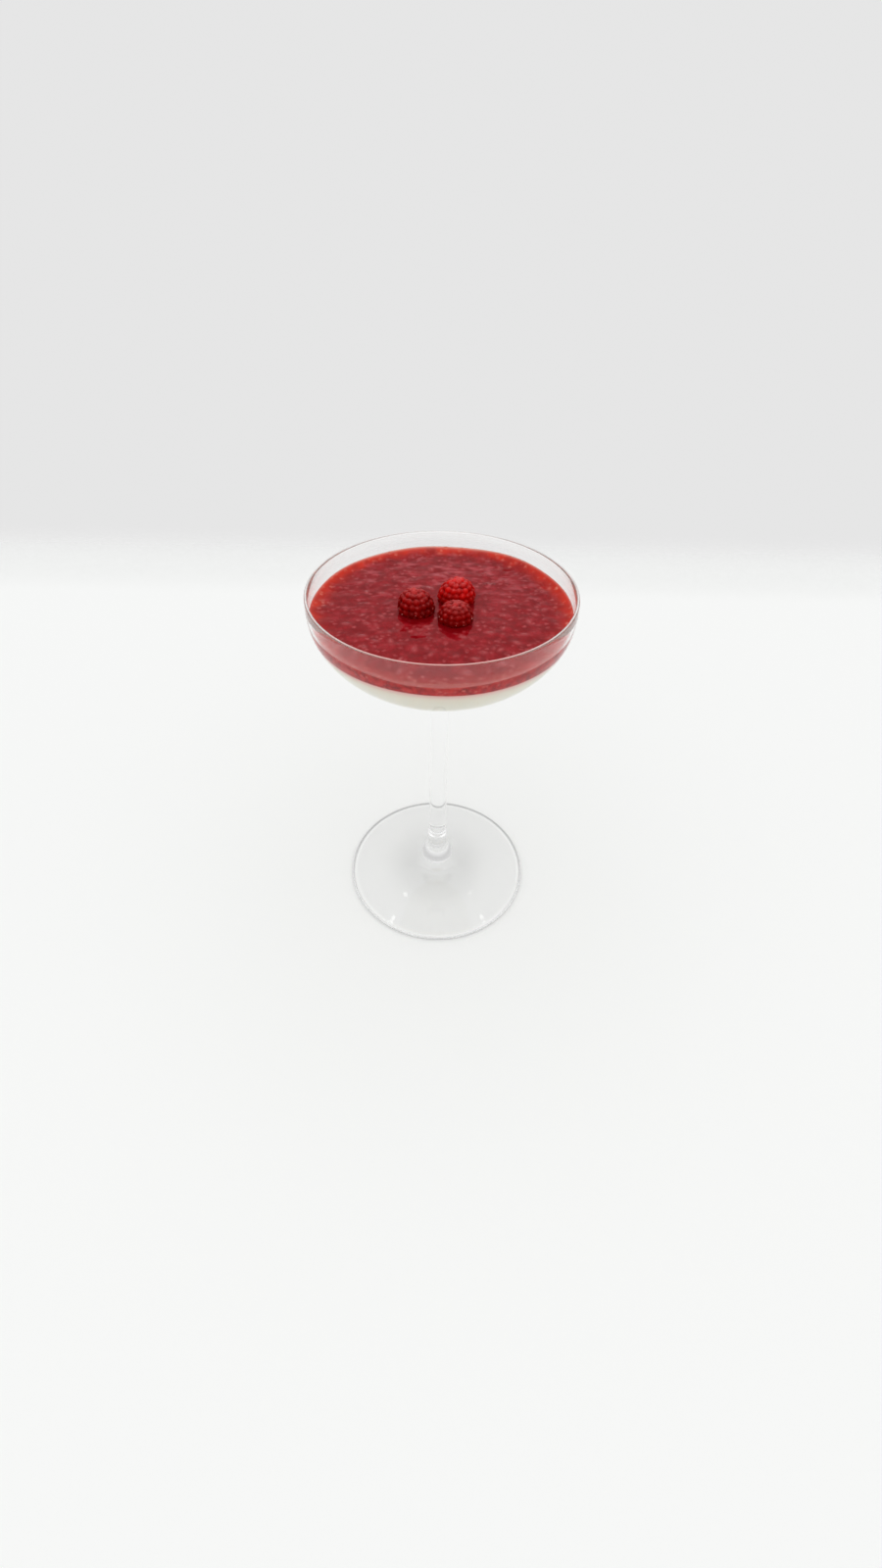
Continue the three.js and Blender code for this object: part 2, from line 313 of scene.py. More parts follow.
def closed_grid(points: Array) -> tuple[Array, Faces]:
    """Joins a grid that closes round on itself and shrinks to a point at its first and last row.

    Args:
        points: grid of rows, columns and coordinates.

    Returns:
        The vertices and the faces, facing outwards.
    """
    rows, columns = points.shape[:2]
    ids = np.arange(rows * columns).reshape(rows, columns)
    ids[0], ids[-1] = ids[0, 0], ids[-1, 0]
    here, right = ids, np.roll(ids, -1, axis=1)
    quads = np.stack([here[:-1], right[:-1], right[1:], here[1:]], axis=-1)
    middle = quads[1:-1].reshape(-1, 4)
    first = quads[0][:, [0, 2, 3]]
    last = quads[-1][:, [0, 1, 2]]
    corners = np.concatenate([middle.ravel(), first.ravel(), last.ravel()])
    used, renamed = np.unique(corners, return_inverse=True)
    vertices = points.reshape(-1, 3)[used]
    quad_faces = renamed[: middle.size].reshape(-1, 4)
    fan_faces = renamed[middle.size :].reshape(-1, 3)
    a, b, c = (vertices[quad_faces[:, corner]] for corner in range(3))
    volume = np.einsum("ij,ij->i", a, np.cross(b, c)).sum()
    if volume < 0:
        quad_faces, fan_faces = quad_faces[:, ::-1], fan_faces[:, ::-1]
    return vertices, quad_faces.tolist() + fan_faces.tolist()


def copied(faces: Faces, corners: int, copies: int) -> Faces:
    """Numbers the faces of several copies of a mesh whose vertices lie one copy after the other."""
    return [[corner + i * corners for corner in face] for i in range(copies) for face in faces]


def new_piece(name: str, vertices: Array, faces: Faces) -> bpy.types.Object:
    """Makes a smooth-shaded object at the origin.

    Args:
        name: the piece's name.
        vertices: rows of coordinates in millimetres.
        faces: each face's vertex numbers.

    Returns:
        The linked object.
    """
    mesh = bpy.data.meshes.new(name)
    mesh.from_pydata((vertices * MM).tolist(), [], faces)
    mesh.polygons.foreach_set("use_smooth", np.ones(len(mesh.polygons), dtype=bool))
    mesh.update()
    piece = bpy.data.objects.new(name, mesh)
    bpy.context.scene.collection.objects.link(piece)
    return piece


def vectors_of(parts: bpy.types.bpy_prop_collection, name: str) -> Array:
    """Reads a vector of each of a mesh's faces or vertices.

    Args:
        parts: the faces or vertices.
        name: the vector's name.

    Returns:
        The vectors, as rows.
    """
    values = np.empty(3 * len(parts))
    parts.foreach_get(name, values)
    return values.reshape(-1, 3)


def set_attribute(piece: bpy.types.Object, name: str, values: Array) -> None:
    """Stores one number for each vertex of a piece, under the name that its material reads."""
    stored = piece.data.attributes.new(name, "FLOAT", "POINT")
    stored.data.foreach_set("value", np.ascontiguousarray(values, dtype=np.float32))


def set_second_material(piece: bpy.types.Object, where: Array) -> None:
    """Gives the marked faces of a piece its second material."""
    piece.data.polygons.foreach_set("material_index", where.astype(np.int32))


def place_piece(piece: bpy.types.Object, slot: str, *nodes: str) -> None:
    """Fixes a finished piece to the dessert.

    Args:
        piece: the piece.
        slot: the record's material slot for its finish; it is not used.
        nodes: the solids that it stands for.
    """
    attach(piece, "root")
    if nodes:
        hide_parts(*nodes)
    LOG.info("%s: %d faces", piece.name, len(piece.data.polygons))


# ---- Finishes ----


@dataclass(frozen=True)
class SodaLimeGlass:
    """Clear soda-lime glass, blown and drawn, then fire polished.

    The eye sees it by its edges: they bend dark and bright parts of the room into thin lines, while the walls
    only lay a faint haze over what is behind them.
    """

    tint: str = "#fefefe"
    ior: float = 1.5
    shine: Pair = (1.0, 0.64)
    lets_through: Pair = (0.955, 0.86)
    thins_between_mm: Pair = (30.0, 120.0)
    ripple_mm: float = 9.0
    ripple_depth_mm: float = 0.012

    def build(self) -> bpy.types.Material:
        """Makes the material: it bends what is seen in it, and lets the light on the food straight through.

        Returns:
            The material.
        """
        material, tree, place = new_material("soda_lime_glass")
        height = add_node(tree, "ShaderNodeSeparateXYZ", {"Vector": place}).outputs["Z"]
        heights = (self.thins_between_mm[0] * MM, self.thins_between_mm[1] * MM)
        body = {
            "Base Color": self.tint,
            "Roughness": 0.0,
            "IOR": self.ior,
            "Transmission Weight": 1.0,
            "Specular Tint": remap(tree, height, heights, self.shine),
            "Normal": relief(tree, noise(tree, place, self.ripple_mm, Detail=1.0), self.ripple_depth_mm),
        }
        glass = add_node(tree, "ShaderNodeBsdfPrincipled", body).outputs["BSDF"]
        light = remap(tree, height, heights, self.lets_through)
        gathered = combine(tree, "MULTIPLY", light, attribute(tree, "gathers"))
        clear = add_node(tree, "ShaderNodeBsdfTransparent", {"Color": gathered}).outputs["BSDF"]
        ray = add_node(tree, "ShaderNodeLightPath").outputs
        lighting = combine(tree, "MAXIMUM", ray["Is Shadow Ray"], ray["Is Diffuse Ray"])
        add_node(tree, "ShaderNodeOutputMaterial", {"Surface": blend_shaders(tree, lighting, glass, clear)})
        return material


@dataclass(frozen=True)
class SatinEdge:
    """An edge of the glass that was ground and then flame rounded, which leaves it faintly satin.

    It scatters light, so it shows as a pale line over the fruit or the table and a grey one over the wall.
    Towards the front the pink of the coulis seen through it is painted into its haze.
    """

    white: str = "#f4f5f4"
    # Painted: the pink of the coulis seen through the lip, towards the front.
    painted_coulis_pink: str = "#f9b4b0"
    painted_pink_between_mm: Pair = (-34.0, -50.0)
    clear_share: Pair = (0.26, 0.5)
    grain_mm: float = 2.2
    surface: Surface = Surface(roughness=0.35, gloss=0.3)

    def build(self) -> bpy.types.Material:
        """Makes the material: a thin haze, a little uneven round the edge, over clear glass.

        Returns:
            The material.
        """
        material, tree, place = new_material("ground_lip_glass")
        share = remap(tree, noise(tree, place, self.grain_mm), target=self.clear_share)
        depth = add_node(tree, "ShaderNodeSeparateXYZ", {"Vector": place}).outputs["Y"]
        # Painted: towards the front the haze takes the pink of the coulis behind it.
        in_front = remap(tree, depth, (self.painted_pink_between_mm[0] * MM, self.painted_pink_between_mm[1] * MM))
        haze = self.surface.build(tree, blend(tree, in_front, self.white, self.painted_coulis_pink))
        clear = add_node(tree, "ShaderNodeBsdfTransparent").outputs["BSDF"]
        add_node(tree, "ShaderNodeOutputMaterial", {"Surface": blend_shaders(tree, share, haze, clear)})
        return material


@dataclass(frozen=True)
class SetCream:
    """Panna cotta: cream and milk set with gelatine.

    A smooth, dense white that light sinks a little way into, faintly mottled, and stained pink where the
    coulis lies on it.
    """

    cream: str = "#f1ecde"
    mottle: str = "#e8e4d0"
    stain: str = "#e69c98"
    stain_depth_mm: float = 1.4
    mottle_mm: float = 6.0
    surface: Surface = Surface(
        roughness=0.45, ior=1.35, gloss=0.1, sinks=0.35, sinks_mm=1.5, sinks_by_colour=(1.0, 0.8, 0.6)
    )

    def build(self) -> bpy.types.Material:
        """Makes the material: the stain fades downwards from the coulis by the piece's own attribute.

        Returns:
            The material.
        """
        material, tree, place = new_material("set_cream")
        ground = blend(tree, noise(tree, place, self.mottle_mm, Detail=3.0), self.cream, self.mottle)
        colour = blend(tree, attribute(tree, "stain"), ground, self.stain)
        add_node(tree, "ShaderNodeOutputMaterial", {"Surface": self.surface.build(tree, colour)})
        return material


@dataclass(frozen=True)
class FruitCoulis:
    """Raspberry coulis: sieved berries cooked with sugar, poured and left to settle.

    Deep wine red and glossy where it is thick, with paler flecks of pulp just under the skin. Painted light
    makes the thin rim against the glass a brighter orange red and paints a pale film at its top; pale streaks
    are painted highlights, and dark patches by the berries are their painted shadow and reflection.
    """

    name: str = "raspberry_coulis"
    dark: str = "#7f0811"
    deep: str = "#8b0a14"
    light: str = "#a01c25"
    cloud_mm: float = 5.0
    cloud_detail: float = 4.0
    cloud_roughness: float = 0.65
    cloud_steps: tuple[float, float, float] = (0.36, 0.5, 0.66)
    # Painted light: the brighter orange red by the glass, for light that comes in through the glass wall.
    rim: str = "#d6301a"
    glass_glow_share: float = 1.0
    # Partly painted light: the thin film at the top edge is painted pale as a glow, strongest at the back.
    film_glow: str = "#fcc0b2"
    # Painted highlights: the pale streaks stand for light caught on ripples.
    painted_glint_streak: str = "#c4525a"
    streak_mm: tuple[float, float, float] = (7.5, 3.8, 6.0)
    streak_range: Pair = (0.52, 0.78)
    streak_most: float = 0.72
    streak_detail: float = 1.6
    streak_bend: float = 0.5
    fleck: str = "#b04448"
    # Flecks within the painted glow by the glass are painted lighter too.
    glass_glow_fleck: str = "#e67c66"
    speck_mm: float = 2.7
    speck_edge: Pair = (0.5, 0.08)
    speck_strength: Pair = (0.25, 0.85)
    ragged_mm: float = 1.2
    ragged_reach_mm: float = 1.6
    # Painted shade: the berries' shadow and dark reflection on the coulis, reaching furthest in front of
    # them.
    berry_shadow_colour: str = "#740309"
    skin_mm: float = 1.6
    skin_depth_mm: float = 0.035
    calm_share: float = 0.06
    surface: Surface = Surface(
        roughness=0.06, ior=1.4, gloss=0.22, sinks=0.25, sinks_mm=1.2, sinks_by_colour=(1.0, 0.2, 0.15)
    )
    # Painted reflection: the colour that rays reaching the coulis by a reflection see, as in the glass wall
    # at its rim.
    painted_reflection: str | None = None

    def sauce(self, tree: Tree, place: Socket) -> Socket:
        """Colours the sauce itself: clouds of three reds, and long pale streaks as painted ripple highlights.

        Args:
            tree: the material's node tree.
            place: each point's place.

        Returns:
            The colour.
        """
        clouds = noise(tree, place, self.cloud_mm, Detail=self.cloud_detail, Roughness=self.cloud_roughness)
        reds = (self.dark, self.deep, self.light)
        ground = ramp(tree, clouds, *zip(self.cloud_steps, reds, strict=True))
        stretch = tuple(1 / (length * MM) for length in self.streak_mm)
        drawn_out = add_node(tree, "ShaderNodeMapping", {"Vector": place, "Scale": stretch}).outputs["Vector"]
        runs = {"Vector": drawn_out, "Scale": 1.0}
        runs |= {"Detail": self.streak_detail, "Distortion": self.streak_bend}
        run = add_node(tree, "ShaderNodeTexNoise", runs).outputs["Fac"]
        # Painted highlights: the streaks, more of them towards the back.
        pale = remap(tree, run, self.streak_range, (0.0, self.streak_most), smooth=True)
        glints_towards_back = combine(tree, "MULTIPLY", pale, attribute(tree, "glints_towards_back"))
        return blend(tree, glints_towards_back, ground, self.painted_glint_streak)

    def pulp(self, tree: Tree, place: Socket) -> Socket:
        """Spreads the pulp: ragged specks of uneven strength, and the flecks that the piece marks.

        Args:
            tree: the material's node tree.
            place: each point's place.

        Returns:
            How much pulp lies at each point, from 0 to 1.
        """
        ragged = {"Vector": place, "Scale": 1 / (self.ragged_mm * MM)}
        shift = add_node(tree, "ShaderNodeTexNoise", ragged).outputs["Color"]
        move = {0: shift, 1: (self.ragged_reach_mm * MM,) * 3, 2: place}
        moved = add_node(tree, "ShaderNodeVectorMath", move, operation="MULTIPLY_ADD").outputs["Vector"]
        split = {"Vector": moved, "Scale": 1 / (self.speck_mm * MM)}
        cells = add_node(tree, "ShaderNodeTexVoronoi", split).outputs
        blot = remap(tree, cells["Distance"], self.speck_edge, smooth=True)
        specks = combine(tree, "MULTIPLY", blot, remap(tree, cells["Color"], self.speck_strength))
        return combine(tree, "MAXIMUM", attribute(tree, "near_fleck"), specks)

    def build(self) -> bpy.types.Material:
        """Makes the material: attributes say how near the glass, a fleck and a berry each point lies.

        Returns:
            The material.
        """
        material, tree, place = new_material(self.name)
        # Painted glow of light through the glass wall, in the thin coulis by it.
        glass_glow = attribute(tree, "glass_glow")
        rim = combine(tree, "MULTIPLY", glass_glow, self.glass_glow_share)
        colour = blend(tree, rim, self.sauce(tree, place), self.rim)
        colour = blend(tree, attribute(tree, "film_glow"), colour, self.film_glow)
        fleck = blend(tree, glass_glow, self.fleck, self.glass_glow_fleck)
        colour = blend(tree, self.pulp(tree, place), colour, fleck)
        # Painted shadow and reflection of the berries.
        colour = blend(tree, attribute(tree, "berry_shadow"), colour, self.berry_shadow_colour)
        # Painted reflection: rays that come by a reflection see a greyish brown instead of the coulis.
        if self.painted_reflection:
            seen_by_reflection = add_node(tree, "ShaderNodeLightPath").outputs["Is Reflection Ray"]
            colour = blend(tree, seen_by_reflection, colour, self.painted_reflection)
        unrest = remap(tree, attribute(tree, "near_berry"), target=(1.0, self.calm_share))
        normal = relief(tree, noise(tree, place, self.skin_mm), self.skin_depth_mm, unrest)
        add_node(tree, "ShaderNodeOutputMaterial", {"Surface": self.surface.build(tree, colour, normal)})
        return material


@dataclass(frozen=True)
class Bead:
    """The finish of small things in the coulis: under a wet gloss, paler or darker by where each lies."""

    name: str
    pale: str
    dark: str
    patch_mm: float
    steps: Pair
    surface: Surface

    def build(self) -> bpy.types.Material:
        """Makes the material: one colour for each bead, as the patches are wider than it is.

        Returns:
            The material.
        """
        material, tree, place = new_material(self.name)
        low, high = self.steps
        colour = ramp(tree, noise(tree, place, self.patch_mm), (low, self.dark), (high, self.pale))
        add_node(tree, "ShaderNodeOutputMaterial", {"Surface": self.surface.build(tree, colour)})
        return material


# Small hard straw-coloured pips, seen through a film of coulis that turns them pink.
COATED_SEED = Bead(
    name="coated_seed",
    pale="#b5484a",
    dark="#9c2c33",
    patch_mm=2.5,
    steps=(0.35, 0.65),
    surface=Surface(roughness=0.15, ior=1.4, gloss=0.4),
)
# Air caught in the coulis: a pale bead that stands as a painted glint, with a soft point of light.
GLINT_BUBBLE = Bead(
    name="glint_bubble",
    pale="#cc8680",
    dark="#a0504c",
    patch_mm=3.0,
    steps=(0.35, 0.6),
    surface=Surface(roughness=0.3, ior=1.33, gloss=0.2),
)


@dataclass(frozen=True)
class RaspberrySkin:
    """Fresh raspberry skin: taut, juice-filled drupelets.

    Saturated red that glows where light passes through, with painted shade darker in the valleys and a
    painted sheen of pale down on the crowns and tops rather than a hard shine.
    """

    crown: str = "#be0806"
    body: str = "#aa0405"
    # Painted shade: the drupelets go from lighter crowns to darker valleys.
    valley: str = "#86040a"
    body_depth: float = 0.55
    # Painted sheen: pale down on the crowns and tops, where it catches the light.
    painted_sheen: str = "#dc6a6a"
    # Speckles that break up the painted sheen.
    sheen_speckle_mm: float = 0.6
    sheen_speckle_range: Pair = (0.4, 0.6)
    sheen_speckle_strength: Pair = (0.35, 1.0)
    grain_mm: float = 0.35
    grain_depth_mm: float = 0.02
    surface: Surface = Surface(
        roughness=0.3, ior=1.4, gloss=0.03, sinks=0.3, sinks_mm=1.0, sinks_by_colour=(1.0, 0.12, 0.1)
    )

    def build(self) -> bpy.types.Material:
        """Makes the material from each point's depth in a valley, tone with painted shade, and painted sheen.

        Returns:
            The material.
        """
        material, tree, place = new_material("raspberry_skin")
        # Painted shade: darker the deeper a point lies in a valley.
        reds = ((0.0, self.crown), (self.body_depth, self.body), (1.0, self.valley))
        flesh = {"Color": ramp(tree, attribute(tree, "valley"), *reds), "Value": attribute(tree, "shade")}
        toned = add_node(tree, "ShaderNodeHueSaturation", flesh).outputs["Color"]
        # The painted sheen of the down, in speckles.
        sheen_speckles = remap(tree, noise(tree, place, self.sheen_speckle_mm, Detail=1.0), self.sheen_speckle_range, self.sheen_speckle_strength)
        down = combine(tree, "MULTIPLY", attribute(tree, "painted_sheen"), sheen_speckles)
        grain = relief(tree, noise(tree, place, self.grain_mm, Detail=1.0), self.grain_depth_mm)
        shader = self.surface.build(tree, blend(tree, down, toned, self.painted_sheen), grain)
        add_node(tree, "ShaderNodeOutputMaterial", {"Surface": shader})
        return material


@dataclass(frozen=True)
class PaintedTable:
    """The staged table: a matt white painted top that fades out softly into the room."""

    white: str = "#f7f8f7"
    back_edge_mm: Pair = (290.0, 440.0)
    round_edge_mm: Pair = (600.0, 740.0)
    surface: Surface = Surface(roughness=0.7, gloss=0.2)

    def build(self) -> bpy.types.Material:
        """Makes the material: a diffuse white that turns clear towards its back and round its edge.

        Returns:
            The material.
        """
        material, tree, place = new_material("painted_table")
        back = add_node(tree, "ShaderNodeSeparateXYZ", {"Vector": place}).outputs["Y"]
        away = add_node(tree, "ShaderNodeVectorMath", {0: place}, operation="LENGTH").outputs["Value"]
        edges = ((back, self.back_edge_mm), (away, self.round_edge_mm))
        faded = [remap(tree, at, (near * MM, far * MM), smooth=True) for at, (near, far) in edges]
        top = self.surface.build(tree, self.white)
        clear = add_node(tree, "ShaderNodeBsdfTransparent").outputs["BSDF"]
        shader = blend_shaders(tree, combine(tree, "MAXIMUM", *faded), top, clear)
        add_node(tree, "ShaderNodeOutputMaterial", {"Surface": shader})
        return material


# ---- The coupe glass ----


@dataclass
class CoupeGlass:
    """A champagne coupe: broad shallow bowl, drawn stem and flat foot, all one piece of glass.

    Places on the outline are pairs of radius and height, and handles are the places that pull a curve.
    """

    rim_radius: float = 55.0
    height: float = 170.0
    lip_height: float = 5.0
    bowl_depth: float = 39.1
    wall: float = 1.25
    bowl_floor: float = 2.4
    bowl_start: float = 13.0
    bowl_handles: tuple[Pair, Pair] = ((4.1, 112.0), (6.0, 125.7))
    stem_waist: Pair = (3.95, 93.0)
    joint: Pair = (4.45, 30.5)
    joint_groove: float = 0.3
    joint_below: float = 0.35
    joint_above: float = 0.3
    joint_step: float = 0.1
    flare_handles: tuple[Pair, Pair] = ((6.2, 16.0), (4.6, 21.0))
    flare: Pair = (8.2, 13.2)
    foot_handles: tuple[Pair, Pair] = ((28.0, 3.3), (16.5, 5.5))
    foot_radius: float = 45.0
    foot_edge: float = 2.2
    foot_rounding: float = 1.7
    foot_hollow: float = 1.4
    foot_ring: float = 39.0
    underside_margin: float = 0.2
    bright_line: float = 0.15
    bright_radius: float = 43.0
    dark_line: float = 0.5
    dark_radius: float = 43.6
    line_width: float = 0.5
    middle_loss: float = 0.14
    middle_radius: float = 22.0
    satin_height: float = 0.07
    segments: int = 360
    finish: SodaLimeGlass = field(default_factory=SodaLimeGlass)
    lip_finish: SatinEdge = field(default_factory=SatinEdge)

    @property
    def bowl_centre(self) -> float:
        """Height where the rounded bowl is widest."""
        return self.height - self.lip_height

    @property
    def inner_radius_at_rim(self) -> float:
        """Radius of the bowl's inside at its mouth."""
        return self.rim_radius - self.wall

    @property
    def inner_depth(self) -> float:
        """Depth of the rounded bowl, inside."""
        return self.bowl_depth - self.bowl_floor

    @property
    def foot_edge_centre(self) -> float:
        """Radius at which the foot's rounded edge begins."""
        return self.foot_radius - self.foot_rounding

    def inner_radius(self, height: Array) -> Array:
        """Radius of the bowl's inside at a height: R sqrt(1 - fall^2), the fall as a share of its depth."""
        fall = np.clip((self.bowl_centre - height) / self.inner_depth, 0, 1)
        return self.inner_radius_at_rim * np.sqrt(1 - fall**2)

    def underside(self) -> Array:
        """The foot's outline from the middle of its hollow underside to the top of its edge.

        The hollow comes down to the ring that the glass stands on by h (1 + cos(pi r)) / 2, where r is a
        share of the ring's radius.

        Returns:
            Rows of radius and height.
        """
        ring = np.linspace(0, 1, num=14)
        fall = 0.5 + 0.5 * np.cos(np.pi * ring)
        hollow = np.column_stack([self.foot_ring * ring, self.foot_hollow * fall])
        flat = np.linspace(self.foot_ring, self.foot_edge_centre, num=10)[1:-1]
        turn = np.linspace(-np.pi / 2, np.pi / 2, num=13)
        out, half_edge = self.foot_edge_centre + self.foot_rounding * np.cos(turn), self.foot_edge / 2
        edge = np.column_stack([out, half_edge + half_edge * np.sin(turn)])
        return np.vstack([hollow, np.column_stack([flat, 0 * flat]), edge])

    def outline(self) -> Array:
        """The glass's outline from the middle of its underside, round the rim, to the bowl's inside.

        Returns:
            Rows of radius and height.
        """
        radius, height = self.joint
        below = (radius, height - self.joint_below)
        groove = (radius - self.joint_groove, height)
        above = np.array([radius - self.joint_step, height + self.joint_above])
        foot_edge = (self.foot_edge_centre, self.foot_edge)
        share = np.linspace(0, 1, num=12)[1:-1, None]
        stem = above * (1 - share) + np.array(self.stem_waist) * share
        start = math.asin(self.bowl_start / self.rim_radius)
        bowl = ellipse_arc(self.rim_radius, self.bowl_depth, self.bowl_centre, start, np.pi / 2, steps=48)
        lip = self.wall / 2
        turn = np.linspace(0, np.pi, num=13)
        rim = [self.rim_radius - lip + lip * np.cos(turn), self.height - lip + lip * np.sin(turn)]
        inside = (self.inner_radius_at_rim, self.inner_depth, self.bowl_centre)
        return np.vstack(
            [
                self.underside(),
                bezier([foot_edge, *self.foot_handles, self.flare], steps=36)[1:],
                bezier([self.flare, *self.flare_handles, below], steps=30)[1:],
                groove,
                above,
                stem,
                bezier([self.stem_waist, *self.bowl_handles, tuple(bowl[0])], steps=24),
                bowl[1:],
                np.column_stack(rim),
                ellipse_arc(*inside, np.pi / 2, 0, steps=56),
            ]
        )

    def gathered_light(self, vertices: Array) -> Array:
        """How much light each point lets down to the table, next to a flat pane.

        The rounded edge of the foot gathers light into a bright line just inside it and leaves a dark one
        under it: 1 + b exp(-((r - r1) / w)^2) - d step(r). The thick middle passes a little less.

        Args:
            vertices: rows of coordinates.

        Returns:
            The share at each point, which is 1 everywhere but on the foot's underside.
        """
        radius = np.hypot(vertices[:, 0], vertices[:, 1])
        above_hollow = self.foot_hollow + self.underside_margin
        underside_top = np.where(radius < self.foot_edge_centre, above_hollow, self.foot_edge / 2)
        bright = self.bright_line * fades(radius - self.bright_radius, self.line_width)
        dark = self.dark_line * np.clip((radius - self.dark_radius) / self.line_width, 0, 1)
        middle = self.middle_loss * fades(radius, self.middle_radius, 4)
        return np.where(vertices[:, 2] < underside_top, 1 + bright - dark - middle, 1.0)

    def build(self) -> bpy.types.Object:
        """Turns the outline into the glass and dresses it.

        Returns:
            The glass.
        """
        vertices, faces = closed_grid(turned(self.outline(), self.segments))
        piece = new_piece("coupe_glass_clear", vertices, faces)
        set_attribute(piece, "gathers", self.gathered_light(vertices))
        piece.data.materials.append(self.finish.build())
        piece.data.materials.append(self.lip_finish.build())
        heights = vectors_of(piece.data.polygons, "center")[:, 2]
        set_second_material(piece, heights > (self.height - self.satin_height) * MM)
        place_piece(piece, "clear_glass", "coupe_glass")
        return piece


# ---- The raspberries ----


class Spot(Enum):
    """Where a raspberry stands, by the name of its solid."""

    LEFT = "raspberry_left"
    BACK = "raspberry_back"
    FRONT = "raspberry_front"


@dataclass
class Raspberry:
    """One raspberry standing tip up, sunk a little in the coulis.

    The drupelets are scattered along their ring by a share of a drupelet, and across it by an angle. Their
    tones and the strength of their painted highlights are drawn from a range.
    """

    spot: Spot
    x: float
    y: float
    radius: float
    top: float
    lean: Pair
    seed: int
    # Scales the brightness of the berry's whole colour.
    tone_scale: float
    equator: float = 160.5
    sunk: float = 3.7
    arc_share: float = 0.8
    drupelet_pitch: float = 2.8
    ring_pitch: float = 0.88
    ring_start: float = 0.35
    scatter: Pair = (0.22, 0.07)
    under_count: int = 5
    drupelet_radius: float = 1.62
    valley_depth: float = 0.95
    crease: float = 0.2
    crease_width: float = 0.25
    tones: Pair = (0.7, 1.15)
    # Painted shade towards the berry's bottom: what is kept at the bottom, what the top gains, and how it
    # rises.
    shade_low: float = 0.56
    shade_gain: float = 0.38
    shade_power: float = 1.2
    # A painted highlight near each drupelet's tip.
    highlight_seed: int = 100
    highlight_width: float = 0.27
    highlight_lift: float = 0.5
    highlight_scatter: float = 0.12
    highlight_strength: Pair = (0.35, 1.0)
    highlight_low: float = 0.22
    highlight_gain: float = 0.58
    # Painted sheen on faces that look up: its most, and how far up a face must look for it to start.
    sheen_most: float = 0.66
    sheen_from: float = 0.35
    rows: int = 170
    columns: int = 300

    def reach(self, direction: Array, extra: float = 0.0) -> Array:
        """How far the berry's smooth outline lies from its middle.

        The outline is an ellipsoid above the equator and a flatter one below.

        Args:
            direction: unit vectors, as rows.
            extra: how much the outline is grown.

        Returns:
            The distance along each direction.
        """
        along = np.where(direction[..., 2] > 0, self.top, self.sunk) + extra
        across = self.radius + extra
        flat = np.hypot(direction[..., 0], direction[..., 1]) / across
        return 1 / np.hypot(flat, direction[..., 2] / along)

    def crowns(self) -> Array:
        """Directions of the drupelets: staggered rings from below the equator to the tip.

        Returns:
            Unit vectors, as rows.
        """
        draw = repeatable_stream(self.seed)
        arc = (self.radius + self.top) * self.arc_share
        rings = math.floor(arc / (self.drupelet_pitch * self.ring_pitch) + 0.5)
        found = []
        for ring in range(-1, rings):
            rise = (ring + self.ring_start) / rings * math.pi / 2
            around = 2 * math.pi * self.radius * math.cos(rise)
            count = max(1, math.floor(around / self.drupelet_pitch + 0.5))
            for i in range(count):
                stagger = 0.5 if ring % 2 else 0.0
                turn = (i + stagger + self.scatter[0] * (draw() - 0.5)) / count * 2 * math.pi
                lift = rise + self.scatter[1] * (draw() - 0.5)
                height = self.top if lift > 0 else self.sunk
                across = self.radius * math.cos(lift)
                found.append((across * math.cos(turn), across * math.sin(turn), height * math.sin(lift)))
        under = [i * (2 / self.under_count) * math.pi for i in range(self.under_count)]
        found += [(0, 0, 1), *((math.cos(turn), math.sin(turn), -1) for turn in under), (0, 0, -1)]
        crowns = np.array(found)
        return crowns / np.linalg.norm(crowns, axis=1, keepdims=True)

    def crown_highlight(self, points: Array, crowns: Array, centres: Array, owner: NDArray[np.int64]) -> Array:
        """A painted highlight of down near each drupelet's tip: s exp(-(a / w)^2), a being the angle from it.

        Args:
            points: places on the surface, from the berry's middle.
            crowns: the drupelets' directions.
            centres: the drupelets' middles.
            owner: the number of the drupelet that each place belongs to.

        Returns:
            From 0 to 1 at each place.
        """
        draw = np.random.default_rng(self.seed + self.highlight_seed)
        tips = crowns + np.array([0, 0, self.highlight_lift]) + draw.normal(0, self.highlight_scatter, crowns.shape)
        tips /= np.linalg.norm(tips, axis=1, keepdims=True)
        strength = draw.uniform(*self.highlight_strength, len(crowns))
        outward = points - centres[owner]
        outward /= np.linalg.norm(outward, axis=-1, keepdims=True)
        angle = np.arccos(np.clip((outward * tips[owner]).sum(axis=-1), -1, 1))
        return strength[owner] * fades(angle, self.highlight_width)

    def build(self, skin: bpy.types.Material) -> bpy.types.Object:
        """Makes the berry: the surface is the outermost drupelet or the core that each direction meets.

        A direction d meets a drupelet with centre c and radius r at d.c + sqrt(r^2 - |c|^2 + (d.c)^2).

        Args:
            skin: the berry's material.

        Returns:
            The berry.
        """
        direction = unit_ball(self.rows, self.columns)
        crowns = self.crowns()
        centres = crowns * self.reach(crowns, -self.drupelet_radius)[:, None]
        along = direction @ centres.T
        inside = self.drupelet_radius**2 - (centres**2).sum(axis=1) + along**2
        exits = np.where((along > 0) & (inside > 0), along + np.sqrt(np.maximum(inside, 0)), 0)
        outermost = exits.max(axis=-1)
        owner = exits.argmax(axis=-1)
        runner_up = np.partition(exits, -2, axis=-1)[..., -2]
        fillet = self.crease * fades(outermost - runner_up, self.crease_width, 1)
        core = self.reach(direction, -self.valley_depth)
        outline = self.reach(direction)
        surface = np.minimum(np.maximum(outermost, core) + fillet, outline)
        from_middle = direction * surface[..., None]
        lifted = np.maximum(from_middle[..., 2], 0)
        lean = np.stack([self.lean[0] * lifted, self.lean[1] * lifted, 0 * lifted], axis=-1)
        vertices, faces = closed_grid(from_middle + lean + np.array([self.x, self.y, self.equator]))
        piece = new_piece(f"{self.spot.value}_fruit", vertices, faces)
        last = (self.rows - 1) * self.columns
        keep = np.r_[0, self.columns : last, last]
